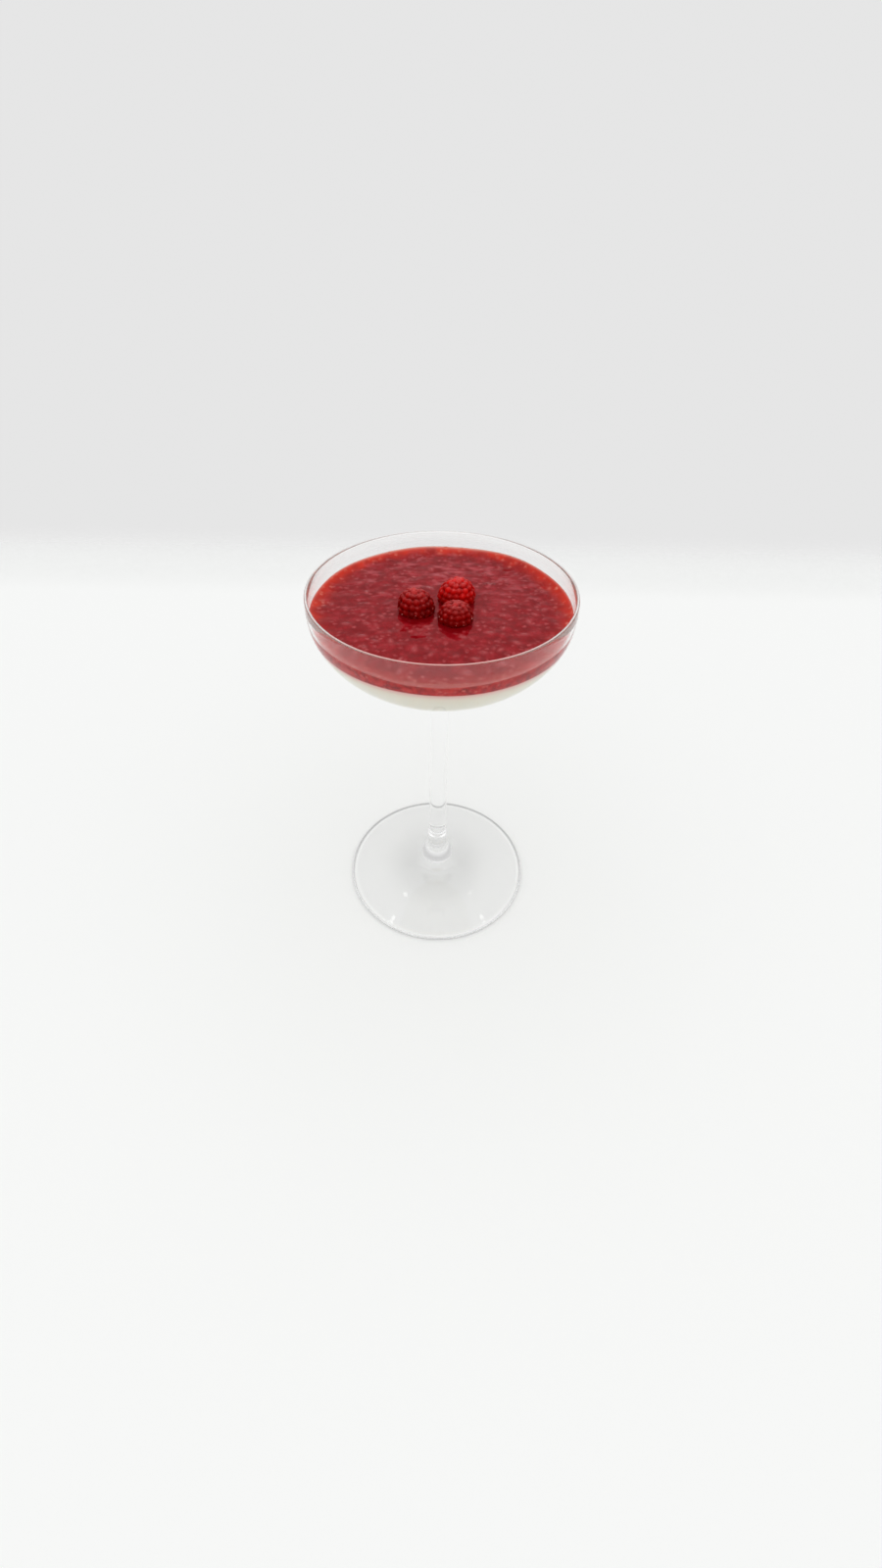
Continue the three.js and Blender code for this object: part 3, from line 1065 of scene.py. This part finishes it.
        # Depth in a valley, which the skin turns into painted shade.
        set_attribute(piece, "valley", np.clip((outline - surface) / self.valley_depth, 0, 1).ravel()[keep])
        # Painted shade: each drupelet's random tone is darkened towards the bottom of the berry.
        high = np.clip(from_middle[..., 2] / self.top, 0, 1).ravel()[keep]
        tones = np.random.default_rng(self.seed).uniform(*self.tones, len(crowns)) * self.tone_scale
        shade = tones[owner].ravel()[keep] * (self.shade_low + self.shade_gain * high**self.shade_power)
        set_attribute(piece, "shade", shade)
        normals = vectors_of(piece.data.vertices, "normal")
        # Painted sheen on faces that look up, strongest near the top, with a painted highlight near each tip.
        upward = np.clip((normals[:, 2] - self.sheen_from) / (1 - self.sheen_from), 0, 1) ** 2
        crown_highlight = self.crown_highlight(from_middle, crowns, centres, owner).ravel()[keep]
        crown_highlight *= self.highlight_low + self.highlight_gain * high
        set_attribute(piece, "painted_sheen", np.maximum(self.sheen_most * upward * high**2, crown_highlight))
        piece.data.materials.append(skin)
        place_piece(piece, "raspberry", self.spot.value)
        return piece


# ---- The panna cotta and the coulis ----


@dataclass
class PannaCotta:
    """The set cream that fills the bowl up to the coulis."""

    glass: CoupeGlass
    level: float = 155.4
    edge_lift: float = 0.2
    edge_swing: tuple[tuple[float, int, float], ...] = (
        (0.22, 2, math.pi / 2),
        (0.12, 3, 1.0),
        (0.07, 7, math.pi / 2),
    )
    into_wall: float = 0.15
    top_flatness: int = 6
    side_rows: int = 44
    top_rows: int = 10
    segments: int = 224
    finish: SetCream = field(default_factory=SetCream)

    def edge_level(self, turn: Array) -> Array:
        """Height of the cream's edge at each angle round the glass: a little uneven, as it was poured."""
        return self.level + self.edge_lift + swing(turn, *self.edge_swing)

    def build(self) -> bpy.types.Object:
        """Makes the cream: the bowl's own curve, reaching just into the glass, closed by its top.

        Returns:
            The cream.
        """
        turn = np.linspace(0, 2 * np.pi, self.segments, endpoint=False)
        lowest = self.glass.bowl_centre - self.glass.inner_depth - self.into_wall
        edge = self.edge_level(turn)
        share = np.linspace(0, 1, self.side_rows)[:, None]
        height = lowest + (edge - lowest) * np.sin(share * np.pi / 2) ** 2
        radius = self.glass.inner_radius(height) + self.into_wall
        radius[0] = 0
        inward = np.linspace(1, 0, self.top_rows)[1:, None]
        top = self.level + (edge - self.level) * inward**self.top_flatness
        radius, height = np.vstack([radius, radius[-1] * inward]), np.vstack([height, top])
        vertices, faces = closed_grid(about_axis(radius, turn, height))
        piece = new_piece("panna_cotta_set", vertices, faces)
        below = self.edge_level(np.arctan2(vertices[:, 1], vertices[:, 0])) - vertices[:, 2]
        set_attribute(piece, "stain", fades(np.maximum(below, 0), self.finish.stain_depth_mm, 1))
        piece.data.materials.append(self.finish.build())
        place_piece(piece, "cream", "panna_cotta")
        return piece


@dataclass(frozen=True)
class Lump:
    """One seed or bit of pulp in the coulis: its place, half its length and the way that it lies."""

    x: float
    y: float
    half: float
    lie: float


@dataclass
class RaspberryCoulis:
    """The layer of coulis with its seeds and pulp, drawn up where it meets the glass and the berries.

    A swing is a set of waves round the glass, each with its size, count and phase. The rim's widths are its
    plain one and what it gains at the sides and in front, and the film's depths are its plain one and what it
    gains at the back. Into the cream the layer reaches by one length at its edge and another in its middle.
    """

    glass: CoupeGlass
    cream: PannaCotta
    berries: list[Raspberry]
    level: float = 159.4
    meniscus_rise: float = 2.1
    meniscus_reach: float = 1.7
    meniscus_swing: tuple[tuple[float, int, float], ...] = ((0.18, 3, 0.6), (0.12, 8, 0.0))
    back_rise: float = 1.0
    pour_rise: float = 0.9
    pour_turn: float = 0.85
    pour_spread: float = 0.45
    front_fall: float = 1.9
    front_calm: float = 0.8
    front_spread: float = 0.6
    berry_rise: float = 0.12
    berry_reach: float = 0.6
    socket_inset: float = 1.3
    socket_gap: float = 0.3
    wave_seed: int = 3
    wave_count: int = 48
    wave_lengths: Pair = (2.6, 11.0)
    wave_height: float = 0.0018
    calm_share: float = 0.92
    calm_reach: float = 4.5
    wall_calm: float = 5.0
    wall_least: float = 0.15
    rim_widths: tuple[float, float, float] = (2.1, 1.5, 4.5)
    rim_swing: tuple[tuple[float, int, float], ...] = ((0.3, 5, 0.0), (0.25, 13, 1.0))
    rim_front_spread: float = 0.9
    rim_front_loss: float = 0.6
    rim_unevenness: float = 8.0
    rim_power: float = 1.5
    film_from: float = 0.2
    film_depths: Pair = (0.26, 0.16)
    film_back_power: int = 6
    film_least: float = 0.1
    film_reach: float = 2.5
    mirror_reach: float = 3.4
    # The painted shadow and reflection of the berries: how dark, how far forward, how far in, how soft, and
    # its shore.
    berry_shadow_most: float = 0.9
    berry_shadow_forward: float = 3.4
    berry_shadow_inset: float = 1.1
    berry_shadow_reach: float = 0.9
    berry_shadow_shore: tuple[tuple[float, int], ...] = ((0.35, 5), (0.25, 9))
    # How much of the painted ripple highlights lies at each depth: at the middle, by slope, and at least.
    glint_middle: float = 0.4
    glint_slope: float = 45.0
    glint_least: float = 0.1
    gap: float = 0.3
    into_wall: float = 0.15
    side_inset: float = 0.01
    into_cream: Pair = (0.05, 0.1)
    side_from: float = 0.6
    underside_from: float = 0.5
    lump_margin: float = 6.0
    lump_count: int = 48
    lump_spacing: float = 5.2
    lump_half: float = 1.0
    lump_half_spread: float = 0.6
    lump_off_berry: float = 2.6
    lump_seed: int = 7
    lump_height: float = 0.16
    lump_glow: float = 1.15
    fleck_count: int = 110
    fleck_spacing: float = 2.4
    fleck_off_berry: float = 1.5
    fleck_within: float = 51.0
    fleck_halves: Pair = (0.45, 1.1)
    fleck_seed: int = 19
    fleck_height: float = 0.07
    fleck_strength: float = 0.6
    swelling: float = 1.3
    bump_window: float = 6.0
    bump_narrowness: float = 0.6
    seed_sunk: float = 0.3
    seed_thickness: float = 0.42
    seed_width: float = 0.5
    seed_taper: float = 0.3
    rings: int = 120
    ring_crowding: float = 1.25
    side_rows: int = 8
    segments: int = 720
    finish: FruitCoulis = field(default_factory=FruitCoulis)
    wetting_finish: FruitCoulis = field(
        default_factory=lambda: FruitCoulis(
            "coulis_against_glass",
            dark="#7c050a",
            deep="#ae0a0e",
            light="#ca2a24",
            rim="#b50c12",
            glass_glow_share=0.3,
            fleck="#cc5a52",
            glass_glow_fleck="#cc5a52",
            speck_mm=1.9,
            cloud_mm=3.0,
            surface=replace(FruitCoulis.surface, gloss=0.0),
            skin_depth_mm=0.001,
            # Painted reflection: the greyish brown that the glass wall shows by its rim.
            painted_reflection="#ad928c",
        )
    )
    seed_finish: Bead = COATED_SEED

    def is_free(self, x: float, y: float, off_berry: float, others: list[Lump], spacing: float) -> bool:
        """Says whether a place is far enough from every berry, and by the spacing from the other lumps."""
        off_berries = all(math.hypot(x - b.x, y - b.y) > b.radius + off_berry for b in self.berries)
        return off_berries and all(math.hypot(x - o.x, y - o.y) > spacing for o in others)

    def lumps(self) -> list[Lump]:
        """Lays the larger seeds and pulp, at the same places as on the solid.

        Returns:
            The lumps.
        """
        draw = repeatable_stream(self.lump_seed)
        reach = float(self.glass.inner_radius(np.array(self.level))) - self.gap - self.lump_margin
        found: list[Lump] = []
        while len(found) < self.lump_count:
            radius = reach * math.sqrt(draw())
            turn = draw() * 2 * math.pi
            x, y = radius * math.cos(turn), radius * math.sin(turn)
            if self.is_free(x, y, self.lump_off_berry, found, self.lump_spacing):
                half = self.lump_half + self.lump_half_spread * draw()
                found.append(Lump(x, y, half, draw() * math.pi))
        return found

    def flecks(self) -> list[Lump]:
        """Lays the smaller pulp that lies just under the skin, clear of the larger pieces.

        Returns:
            The lumps.
        """
        draw = np.random.default_rng(self.fleck_seed)
        found: list[Lump] = []
        lumps = self.lumps()
        while len(found) < self.fleck_count:
            radius = self.fleck_within * math.sqrt(draw.uniform())
            turn = draw.uniform(0, 2 * math.pi)
            x, y = radius * math.cos(turn), radius * math.sin(turn)
            half, lie = draw.uniform(*self.fleck_halves), draw.uniform(0, math.pi)
            if self.is_free(x, y, self.fleck_off_berry, lumps + found, self.fleck_spacing):
                found.append(Lump(x, y, half, lie))
        return found

    def waves(self, x: Array, y: Array) -> Array:
        """Low ripples left by pouring: a sum of sines of random heading, length and phase.

        Args:
            x: places across the glass.
            y: places along the view.

        Returns:
            The height of the ripples.
        """
        draw = np.random.default_rng(self.wave_seed)
        total = np.zeros_like(x)
        for _ in range(self.wave_count):
            length = draw.uniform(*self.wave_lengths)
            heading, phase = draw.uniform(0, 2 * np.pi, 2)
            along = x * np.cos(heading) + y * np.sin(heading)
            total += length * np.sin(2 * np.pi / length * along + phase)
        return self.wave_height * total

    def bumps(self, x: Array, y: Array, lumps: list[Lump], spread: float) -> Array:
        """How close each point lies to the nearest of some lumps: exp(-(u / l)^2 - (v / w)^2).

        Args:
            x: places across the glass.
            y: places along the view.
            lumps: the lumps.
            spread: how much wider than the lump the bump is.

        Returns:
            From 0, clear of all lumps, to 1, on top of one.
        """
        nearest = np.zeros_like(x)
        for lump in lumps:
            close = (np.abs(x - lump.x) < self.bump_window) & (np.abs(y - lump.y) < self.bump_window)
            dx, dy = x[close] - lump.x, y[close] - lump.y
            length = lump.half * spread
            u = (dx * math.cos(lump.lie) + dy * math.sin(lump.lie)) / length
            v = (dy * math.cos(lump.lie) - dx * math.sin(lump.lie)) / (self.bump_narrowness * length)
            nearest[close] = np.maximum(nearest[close], np.exp(-(u**2) - v**2))
        return nearest

    def from_berries(self, x: Array, y: Array) -> Array:
        """How far each point lies from the nearest berry, and 0 under one."""
        away = np.min([np.hypot(x - berry.x, y - berry.y) - berry.radius for berry in self.berries], axis=0)
        return np.maximum(away, 0)

    def rise(self, turn: Array) -> Array:
        """How far the coulis climbs the glass: more at the back and where it was poured, least at the front.

        Args:
            turn: angles round the glass, from -pi to pi.

        Returns:
            The rise at each angle.
        """
        back = self.back_rise * np.clip(np.sin(turn), 0, 1) ** 2
        poured = self.pour_rise * fades(turn - self.pour_turn, self.pour_spread)
        in_front = fades(turn + np.pi / 2, self.front_spread)
        uneven = swing(turn, *self.meniscus_swing) * (1 - self.front_calm * in_front)
        return self.meniscus_rise + uneven + back + poured - self.front_fall * in_front

    def edge(self, turn: Array) -> Array:
        """Radius of the coulis's edge, just inside the wall of the glass, at each angle round it."""
        return self.glass.inner_radius(self.level + self.rise(turn)) + self.into_wall

    def surface(self, x: Array, y: Array, inset: Array) -> Array:
        """Height of the coulis's skin.

        The level, plus the rise at the glass, the rise round each berry, the ripples and a swelling over each
        seed; under each berry it dips into the berry's socket.

        Args:
            x: places across the glass.
            y: places along the view.
            inset: distance from the glass.

        Returns:
            The height at each place.
        """
        height = self.level + self.rise(np.arctan2(y, x)) * fades(inset, self.meniscus_reach, 1)
        calm = 1 - self.calm_share * fades(self.from_berries(x, y), self.calm_reach)
        height += self.waves(x, y) * calm * np.clip(inset / self.wall_calm, self.wall_least, 1)
        height += self.lump_height * self.bumps(x, y, self.lumps(), self.swelling)
        height += self.fleck_height * self.bumps(x, y, self.flecks(), self.swelling)
        for berry in self.berries:
            away = np.hypot(x - berry.x, y - berry.y)
            height += self.berry_rise * fades(np.maximum(away - berry.radius, 0), self.berry_reach, 1)
        for berry in self.berries:
            away = np.hypot(x - berry.x, y - berry.y) / (berry.radius - self.socket_inset)
            depth = (berry.sunk - self.socket_gap) * np.sqrt(np.maximum(1 - away**2, 0))
            height = np.where(away < 1, np.minimum(height, berry.equator - depth), height)
        return height

    def berry_shadow(self, x: Array, y: Array) -> Array:
        """Painted shadow and reflection of the berries, shifted forward: m exp(-(d / w)^4) beyond an uneven
        shore.

        Args:
            x: places across the glass.
            y: places along the view.

        Returns:
            From 0, plain coulis, to its most, the darkest painted shade.
        """
        most = np.zeros_like(x)
        for berry in self.berries:
            dx, dy = x - berry.x, y - berry.y + self.berry_shadow_forward
            bays = enumerate(self.berry_shadow_shore, start=1)
            shore = swing(np.arctan2(dy, dx), *((size, n, order * berry.seed) for order, (size, n) in bays))
            beyond = np.maximum(np.hypot(dx, dy) - berry.radius + self.berry_shadow_inset - shore, 0)
            most = np.maximum(most, self.berry_shadow_most * fades(beyond, self.berry_shadow_reach, 4))
        return most

    def rim_glow(self, x: Array, y: Array) -> Array:
        """How thin the coulis is by the glass, and so its painted glow: exp(-(d / w)^p), with an uneven d and
        w.

        Args:
            x: places across the glass.
            y: places along the view.

        Returns:
            From 0, thick with no glow, to 1, thin with the full painted glow.
        """
        around = np.arctan2(y, x)
        in_front = fades(around + np.pi / 2, self.rim_front_spread)
        inset = np.maximum(self.edge(around) - np.hypot(x, y), 0)
        uneven = np.maximum(inset + self.rim_unevenness * self.waves(x, y), 0)
        plain, sides, front = self.rim_widths
        ring = plain + sides * np.cos(around) ** 2 + front * in_front + swing(around, *self.rim_swing)
        return (1 - self.rim_front_loss * in_front) * fades(uneven, ring, self.rim_power)

    def film_glow(self, vertices: Array) -> Array:
        """How far the coulis has thinned to a pale film at its upper edge, painted to glow most at the back.

        Args:
            vertices: rows of coordinates.

        Returns:
            From 0, full colour, to 1, a film.
        """
        x, y, z = vertices.T
        around = np.arctan2(y, x)
        inset = np.maximum(self.edge(around) - np.hypot(x, y), 0)
        below = np.maximum(self.level + self.rise(around) - z, 0)
        behind = np.clip(y / self.glass.rim_radius, 0, 1)
        depth = self.film_depths[0] + self.film_depths[1] * behind**self.film_back_power
        strength = self.film_least + (1 - self.film_least) * behind**0.5
        return strength * fades(np.maximum(below - self.film_from, 0), depth, 1) * (inset < self.film_reach)

    def build(self) -> bpy.types.Object:
        """Makes the coulis: its skin as rings from the middle to the glass, then down the glass and back.

        Returns:
            The coulis.
        """
        turn = np.linspace(-np.pi, np.pi, self.segments, endpoint=False)
        edge = self.edge(turn)
        share = np.linspace(0, 1, self.rings)[:, None]
        skin_radius = edge * (1 - (1 - share) ** self.ring_crowding)
        x, y = skin_radius * np.cos(turn), skin_radius * np.sin(turn)
        skin = self.surface(x, y, edge - skin_radius)
        down = np.linspace(0, 1, self.side_rows + 1)[1:, None]
        at_edge, in_middle = self.into_cream
        side = skin[-1] + (self.cream.edge_level(turn) - at_edge - skin[-1]) * down
        side_radius = self.glass.inner_radius(side) + self.into_wall - self.side_inset
        back = np.array([0.5, 0.0])[:, None]
        radius = np.vstack([skin_radius, side_radius, side_radius[-1] * back])
        height = np.vstack([skin, side, np.full((2, self.segments), self.cream.level - in_middle)])
        vertices, faces = closed_grid(about_axis(radius, turn, height))
        piece = new_piece("raspberry_coulis_poured", vertices, faces)
        self.dress(piece, vertices, edge.min())
        place_piece(piece, "coulis", "raspberry_coulis")
        return piece

    def dress(self, piece: bpy.types.Object, vertices: Array, narrowest: float) -> None:
        """Marks what the finishes go by, and gives the sides and the underside the wetting finish.

        Args:
            piece: the coulis.
            vertices: its vertices, as rows.
            narrowest: the least radius of its edge.
        """
        x, y = vertices[:, 0], vertices[:, 1]
        # Where the painted glow by the glass goes.
        set_attribute(piece, "glass_glow", self.rim_glow(x, y))
        faint = self.fleck_strength * self.bumps(x, y, self.flecks(), self.swelling)
        set_attribute(piece, "near_fleck", np.maximum(self.bumps(x, y, self.lumps(), self.lump_glow), faint))
        # The pale film: a thin layer, with a painted glow strongest at the back.
        set_attribute(piece, "film_glow", self.film_glow(vertices))
        set_attribute(piece, "near_berry", fades(self.from_berries(x, y), self.mirror_reach, 4))
        # Where the painted shadow and reflection of the berries lie.
        set_attribute(piece, "berry_shadow", self.berry_shadow(x, y))
        # Painted ripple highlights grow towards the back.
        glints_towards_back = np.clip(self.glint_middle + y / self.glint_slope, self.glint_least, 1)
        set_attribute(piece, "glints_towards_back", glints_towards_back)
        piece.data.materials.append(self.finish.build())
        piece.data.materials.append(self.wetting_finish.build())
        centres, normals = (vectors_of(piece.data.polygons, name) for name in ("center", "normal"))
        outward = (centres * normals)[:, :2].sum(axis=1)
        on_side, below = outward > self.side_from * narrowest * MM, normals[:, 2] < -self.underside_from
        set_second_material(piece, on_side | below)

    def build_seeds(self) -> bpy.types.Object:
        """Makes the seeds and pulp as one mesh of small ellipsoids, sunk until only their backs show.

        Returns:
            The seeds.
        """
        places = np.array([(lump.x, lump.y, lump.half, lump.lie) for lump in self.lumps()])
        at_x, at_y, half, lie = (places[:, column : column + 1] for column in range(4))
        template, template_faces = closed_grid(unit_ball(rows=6, columns=10))
        u = template[:, 0] * half
        v = template[:, 1] * half * self.seed_width * (1 - self.seed_taper * template[:, 0])
        x = at_x + u * np.cos(lie) - v * np.sin(lie)
        y = at_y + u * np.sin(lie) + v * np.cos(lie)
        inset = self.edge(np.arctan2(at_y, at_x)) - np.hypot(at_x, at_y)
        skin = self.surface(at_x, at_y, inset)
        z = skin - self.seed_sunk + self.seed_thickness * template[:, 2]
        vertices = np.stack([x, y, z], axis=-1).reshape(-1, 3)
        faces = copied(template_faces, len(template), len(places))
        piece = new_piece("coulis_seeds", vertices, faces)
        piece.data.materials.append(self.seed_finish.build())
        place_piece(piece, "coulis", "raspberry_coulis")
        return piece


@dataclass
class GlintBubbles:
    """Small bubbles that cling to the berries just above the coulis, drawn pale as painted glints."""

    berries: list[Raspberry]
    level: float
    for_each: int = 11
    scatter: float = 0.35
    radii: Pair = (0.2, 0.36)
    heights: Pair = (0.5, 2.6)
    sunk: float = 0.25
    seed: int = 4
    finish: Bead = GLINT_BUBBLE

    def build(self) -> bpy.types.Object:
        """Makes the bubbles as one mesh of small balls, each with its middle near a berry's outline.

        Returns:
            The bubbles.
        """
        draw = np.random.default_rng(self.seed)
        places = []
        for berry in self.berries:
            step = np.arange(self.for_each) + draw.uniform(-self.scatter, self.scatter, self.for_each)
            height = self.level - berry.equator + draw.uniform(*self.heights, self.for_each)
            across = berry.radius * np.sqrt(1 - (height / berry.top) ** 2) - self.sunk
            lean = np.maximum(height, 0)[:, None] * np.array([*berry.lean, 0])
            middle = np.array([berry.x, berry.y, berry.equator])
            places.append(middle + lean + about_axis(across, step / self.for_each * 2 * np.pi, height))
        middles = np.vstack(places)
        radii = draw.uniform(*self.radii, len(middles))
        ball, ball_faces = closed_grid(unit_ball(rows=6, columns=8))
        vertices = (middles[:, None] + radii[:, None, None] * ball).reshape(-1, 3)
        piece = new_piece("glint_bubbles", vertices, copied(ball_faces, len(ball), len(middles)))
        piece.data.materials.append(self.finish.build())
        place_piece(piece, "coulis")
        return piece


# ---- The studio ----


@dataclass(frozen=True)
class Lamp:
    """A small round lamp behind the glass, which puts a point of light on its foot."""

    place_m: tuple[float, float, float]
    radius_m: float
    power_w: float

    def build(self, name: str) -> None:
        """Hangs the lamp, facing the glass.

        Args:
            name: the lamp's name.
        """
        lamp = bpy.data.lights.new(name, "AREA")
        lamp.shape = "DISK"
        lamp.size = 2 * self.radius_m
        lamp.energy = self.power_w
        holder = bpy.data.objects.new(name, lamp)
        holder.location = self.place_m
        holder.rotation_euler = (-Vector(self.place_m)).to_track_quat("-Z", "Y").to_euler()
        bpy.context.scene.collection.objects.link(holder)


@dataclass
class Studio:
    """The table, the light and the camera.

    The two walls give the room's brightness by the height that one looks at, from the horizon at 0 to
    straight up at 1.
    """

    table_radius_mm: float = 750.0
    table_gap_mm: float = 0.05
    table_thickness_mm: float = 8.0
    back_wall: tuple[Pair, ...] = (
        (0.0, 0.79),
        (0.15, 0.79),
        (0.38, 0.6),
        (0.62, 0.66),
        (0.78, 0.98),
        (1.0, 0.98),
    )
    other_walls: tuple[Pair, ...] = ((0.0, 0.72), (0.4, 1.04), (1.0, 1.16))
    back_between: Pair = (-0.1, 0.35)
    glow_towards: tuple[float, float, float] = (0.0, 0.17, 0.985)
    glow_between: Pair = (0.7, 0.98)
    glow_brightness: float = 0.1
    lamps: tuple[Lamp, ...] = (
        Lamp((-0.19, 0.56, 1.15), radius_m=0.009, power_w=0.0035),
        Lamp((0.21, 0.57, 1.15), radius_m=0.009, power_w=0.0035),
        Lamp((-0.33, 0.36, 1.15), radius_m=0.03, power_w=0.03),
        Lamp((0.38, 0.39, 1.15), radius_m=0.03, power_w=0.012),
    )
    bounces: int = 24
    camera_back_mm: float = 250.9
    camera_up_mm: float = 307.3
    yaw_deg: float = -0.629
    pitch_deg: float = 34.595
    roll_deg: float = 0.700
    focal_length_mm: float = 16.238
    sensor_mm: float = 36.0
    shift: Pair = (0.0044, -0.0789)
    clip_start_m: float = 0.01
    table_finish: PaintedTable = field(default_factory=PaintedTable)

    def build_table(self) -> None:
        """Makes the round table top that the glass stands on."""
        radii = self.table_radius_mm * np.linspace(0, 1, num=12)
        top = np.column_stack([radii, 0 * radii - self.table_gap_mm])
        under = np.column_stack([radii[::-1], 0 * radii - self.table_thickness_mm])
        vertices, faces = closed_grid(turned(np.vstack([top, under]), segments=96))
        table = new_piece("table_top", vertices, faces)
        table.data.materials.append(self.table_finish.build())

    def build_room(self) -> None:
        """Sets the room: pale walls all round, a dimmer band above the back wall and a soft glow overhead."""
        world = bpy.data.worlds.new("room")
        bpy.context.scene.world = world
        world.use_nodes = True
        tree = world.node_tree
        tree.nodes.clear()
        place = add_node(tree, "ShaderNodeTexCoord").outputs["Generated"]
        parts = add_node(tree, "ShaderNodeSeparateXYZ", {"Vector": place}).outputs
        behind = ramp(tree, parts["Z"], *self.back_wall)
        around = ramp(tree, parts["Z"], *self.other_walls)
        backward = remap(tree, parts["Y"], self.back_between, smooth=True)
        dot = {0: place, 1: self.glow_towards}
        towards = add_node(tree, "ShaderNodeVectorMath", dot, operation="DOT_PRODUCT").outputs["Value"]
        glow = remap(tree, towards, self.glow_between, (1.0, 1.0 + self.glow_brightness), smooth=True)
        sky = {"Color": blend(tree, backward, around, behind), "Strength": glow}
        light = add_node(tree, "ShaderNodeBackground", sky).outputs["Background"]
        add_node(tree, "ShaderNodeOutputWorld", {"Surface": light})

    def build_camera(self) -> None:
        """Sets the camera: in front of the glass, looking down on it, turned by yaw, pitch and roll."""
        yaw, pitch, roll = (math.radians(a) for a in (self.yaw_deg, self.pitch_deg, self.roll_deg))
        ahead = np.array([math.sin(yaw) * math.cos(pitch), math.cos(yaw) * math.cos(pitch), -math.sin(pitch)])
        level_right = np.array([math.cos(yaw), -math.sin(yaw), 0.0])
        level_up = np.cross(level_right, ahead)
        right = level_right * math.cos(roll) + level_up * math.sin(roll)
        up = level_up * math.cos(roll) - level_right * math.sin(roll)
        data = bpy.data.cameras.new("camera")
        data.sensor_width = self.sensor_mm
        data.lens = self.focal_length_mm
        data.shift_x, data.shift_y = self.shift
        data.clip_start = self.clip_start_m
        camera = bpy.data.objects.new("camera", data)
        axes = np.eye(4)
        axes[:3, 0], axes[:3, 1], axes[:3, 2] = right, up, -ahead
        axes[:3, 3] = (0.0, -self.camera_back_mm * MM, self.camera_up_mm * MM)
        camera.matrix_world = Matrix(axes.tolist())
        bpy.context.scene.collection.objects.link(camera)
        bpy.context.scene.camera = camera

    def build(self) -> None:
        """Sets up the table, the light, the camera and how the picture's colours are shown."""
        self.build_table()
        for number, lamp in enumerate(self.lamps):
            lamp.build(f"lamp_{number}")
        self.build_room()
        self.build_camera()
        paths = bpy.context.scene.cycles
        paths.max_bounces = paths.glossy_bounces = paths.transmission_bounces = self.bounces
        bpy.context.scene.view_settings.view_transform = "Standard"
        bpy.context.scene.view_settings.look = "None"


def main() -> None:
    """Builds the dessert and the studio, in order."""
    logging.basicConfig(level=logging.INFO, format="%(name)s: %(message)s")
    Studio().build()
    glass = CoupeGlass()
    glass.build()
    berries = [
        Raspberry(Spot.LEFT, -10.2, -0.5, radius=7.8, top=8.6, lean=(-0.12, 0.05), seed=5, tone_scale=0.7),
        Raspberry(Spot.BACK, 6.2, 9.4, radius=8.1, top=8.4, lean=(0.08, 0.04), seed=11, tone_scale=1.4),
        Raspberry(Spot.FRONT, 5.7, -6.9, radius=7.4, top=7.0, lean=(0.02, -0.06), seed=23, tone_scale=0.68),
    ]
    skin = RaspberrySkin().build()
    for berry in berries:
        berry.build(skin)
    cream = PannaCotta(glass)
    cream.build()
    coulis = RaspberryCoulis(glass, cream, berries)
    coulis.build()
    coulis.build_seeds()
    GlintBubbles(berries, coulis.level).build()


if __name__ == "__main__":
    main()
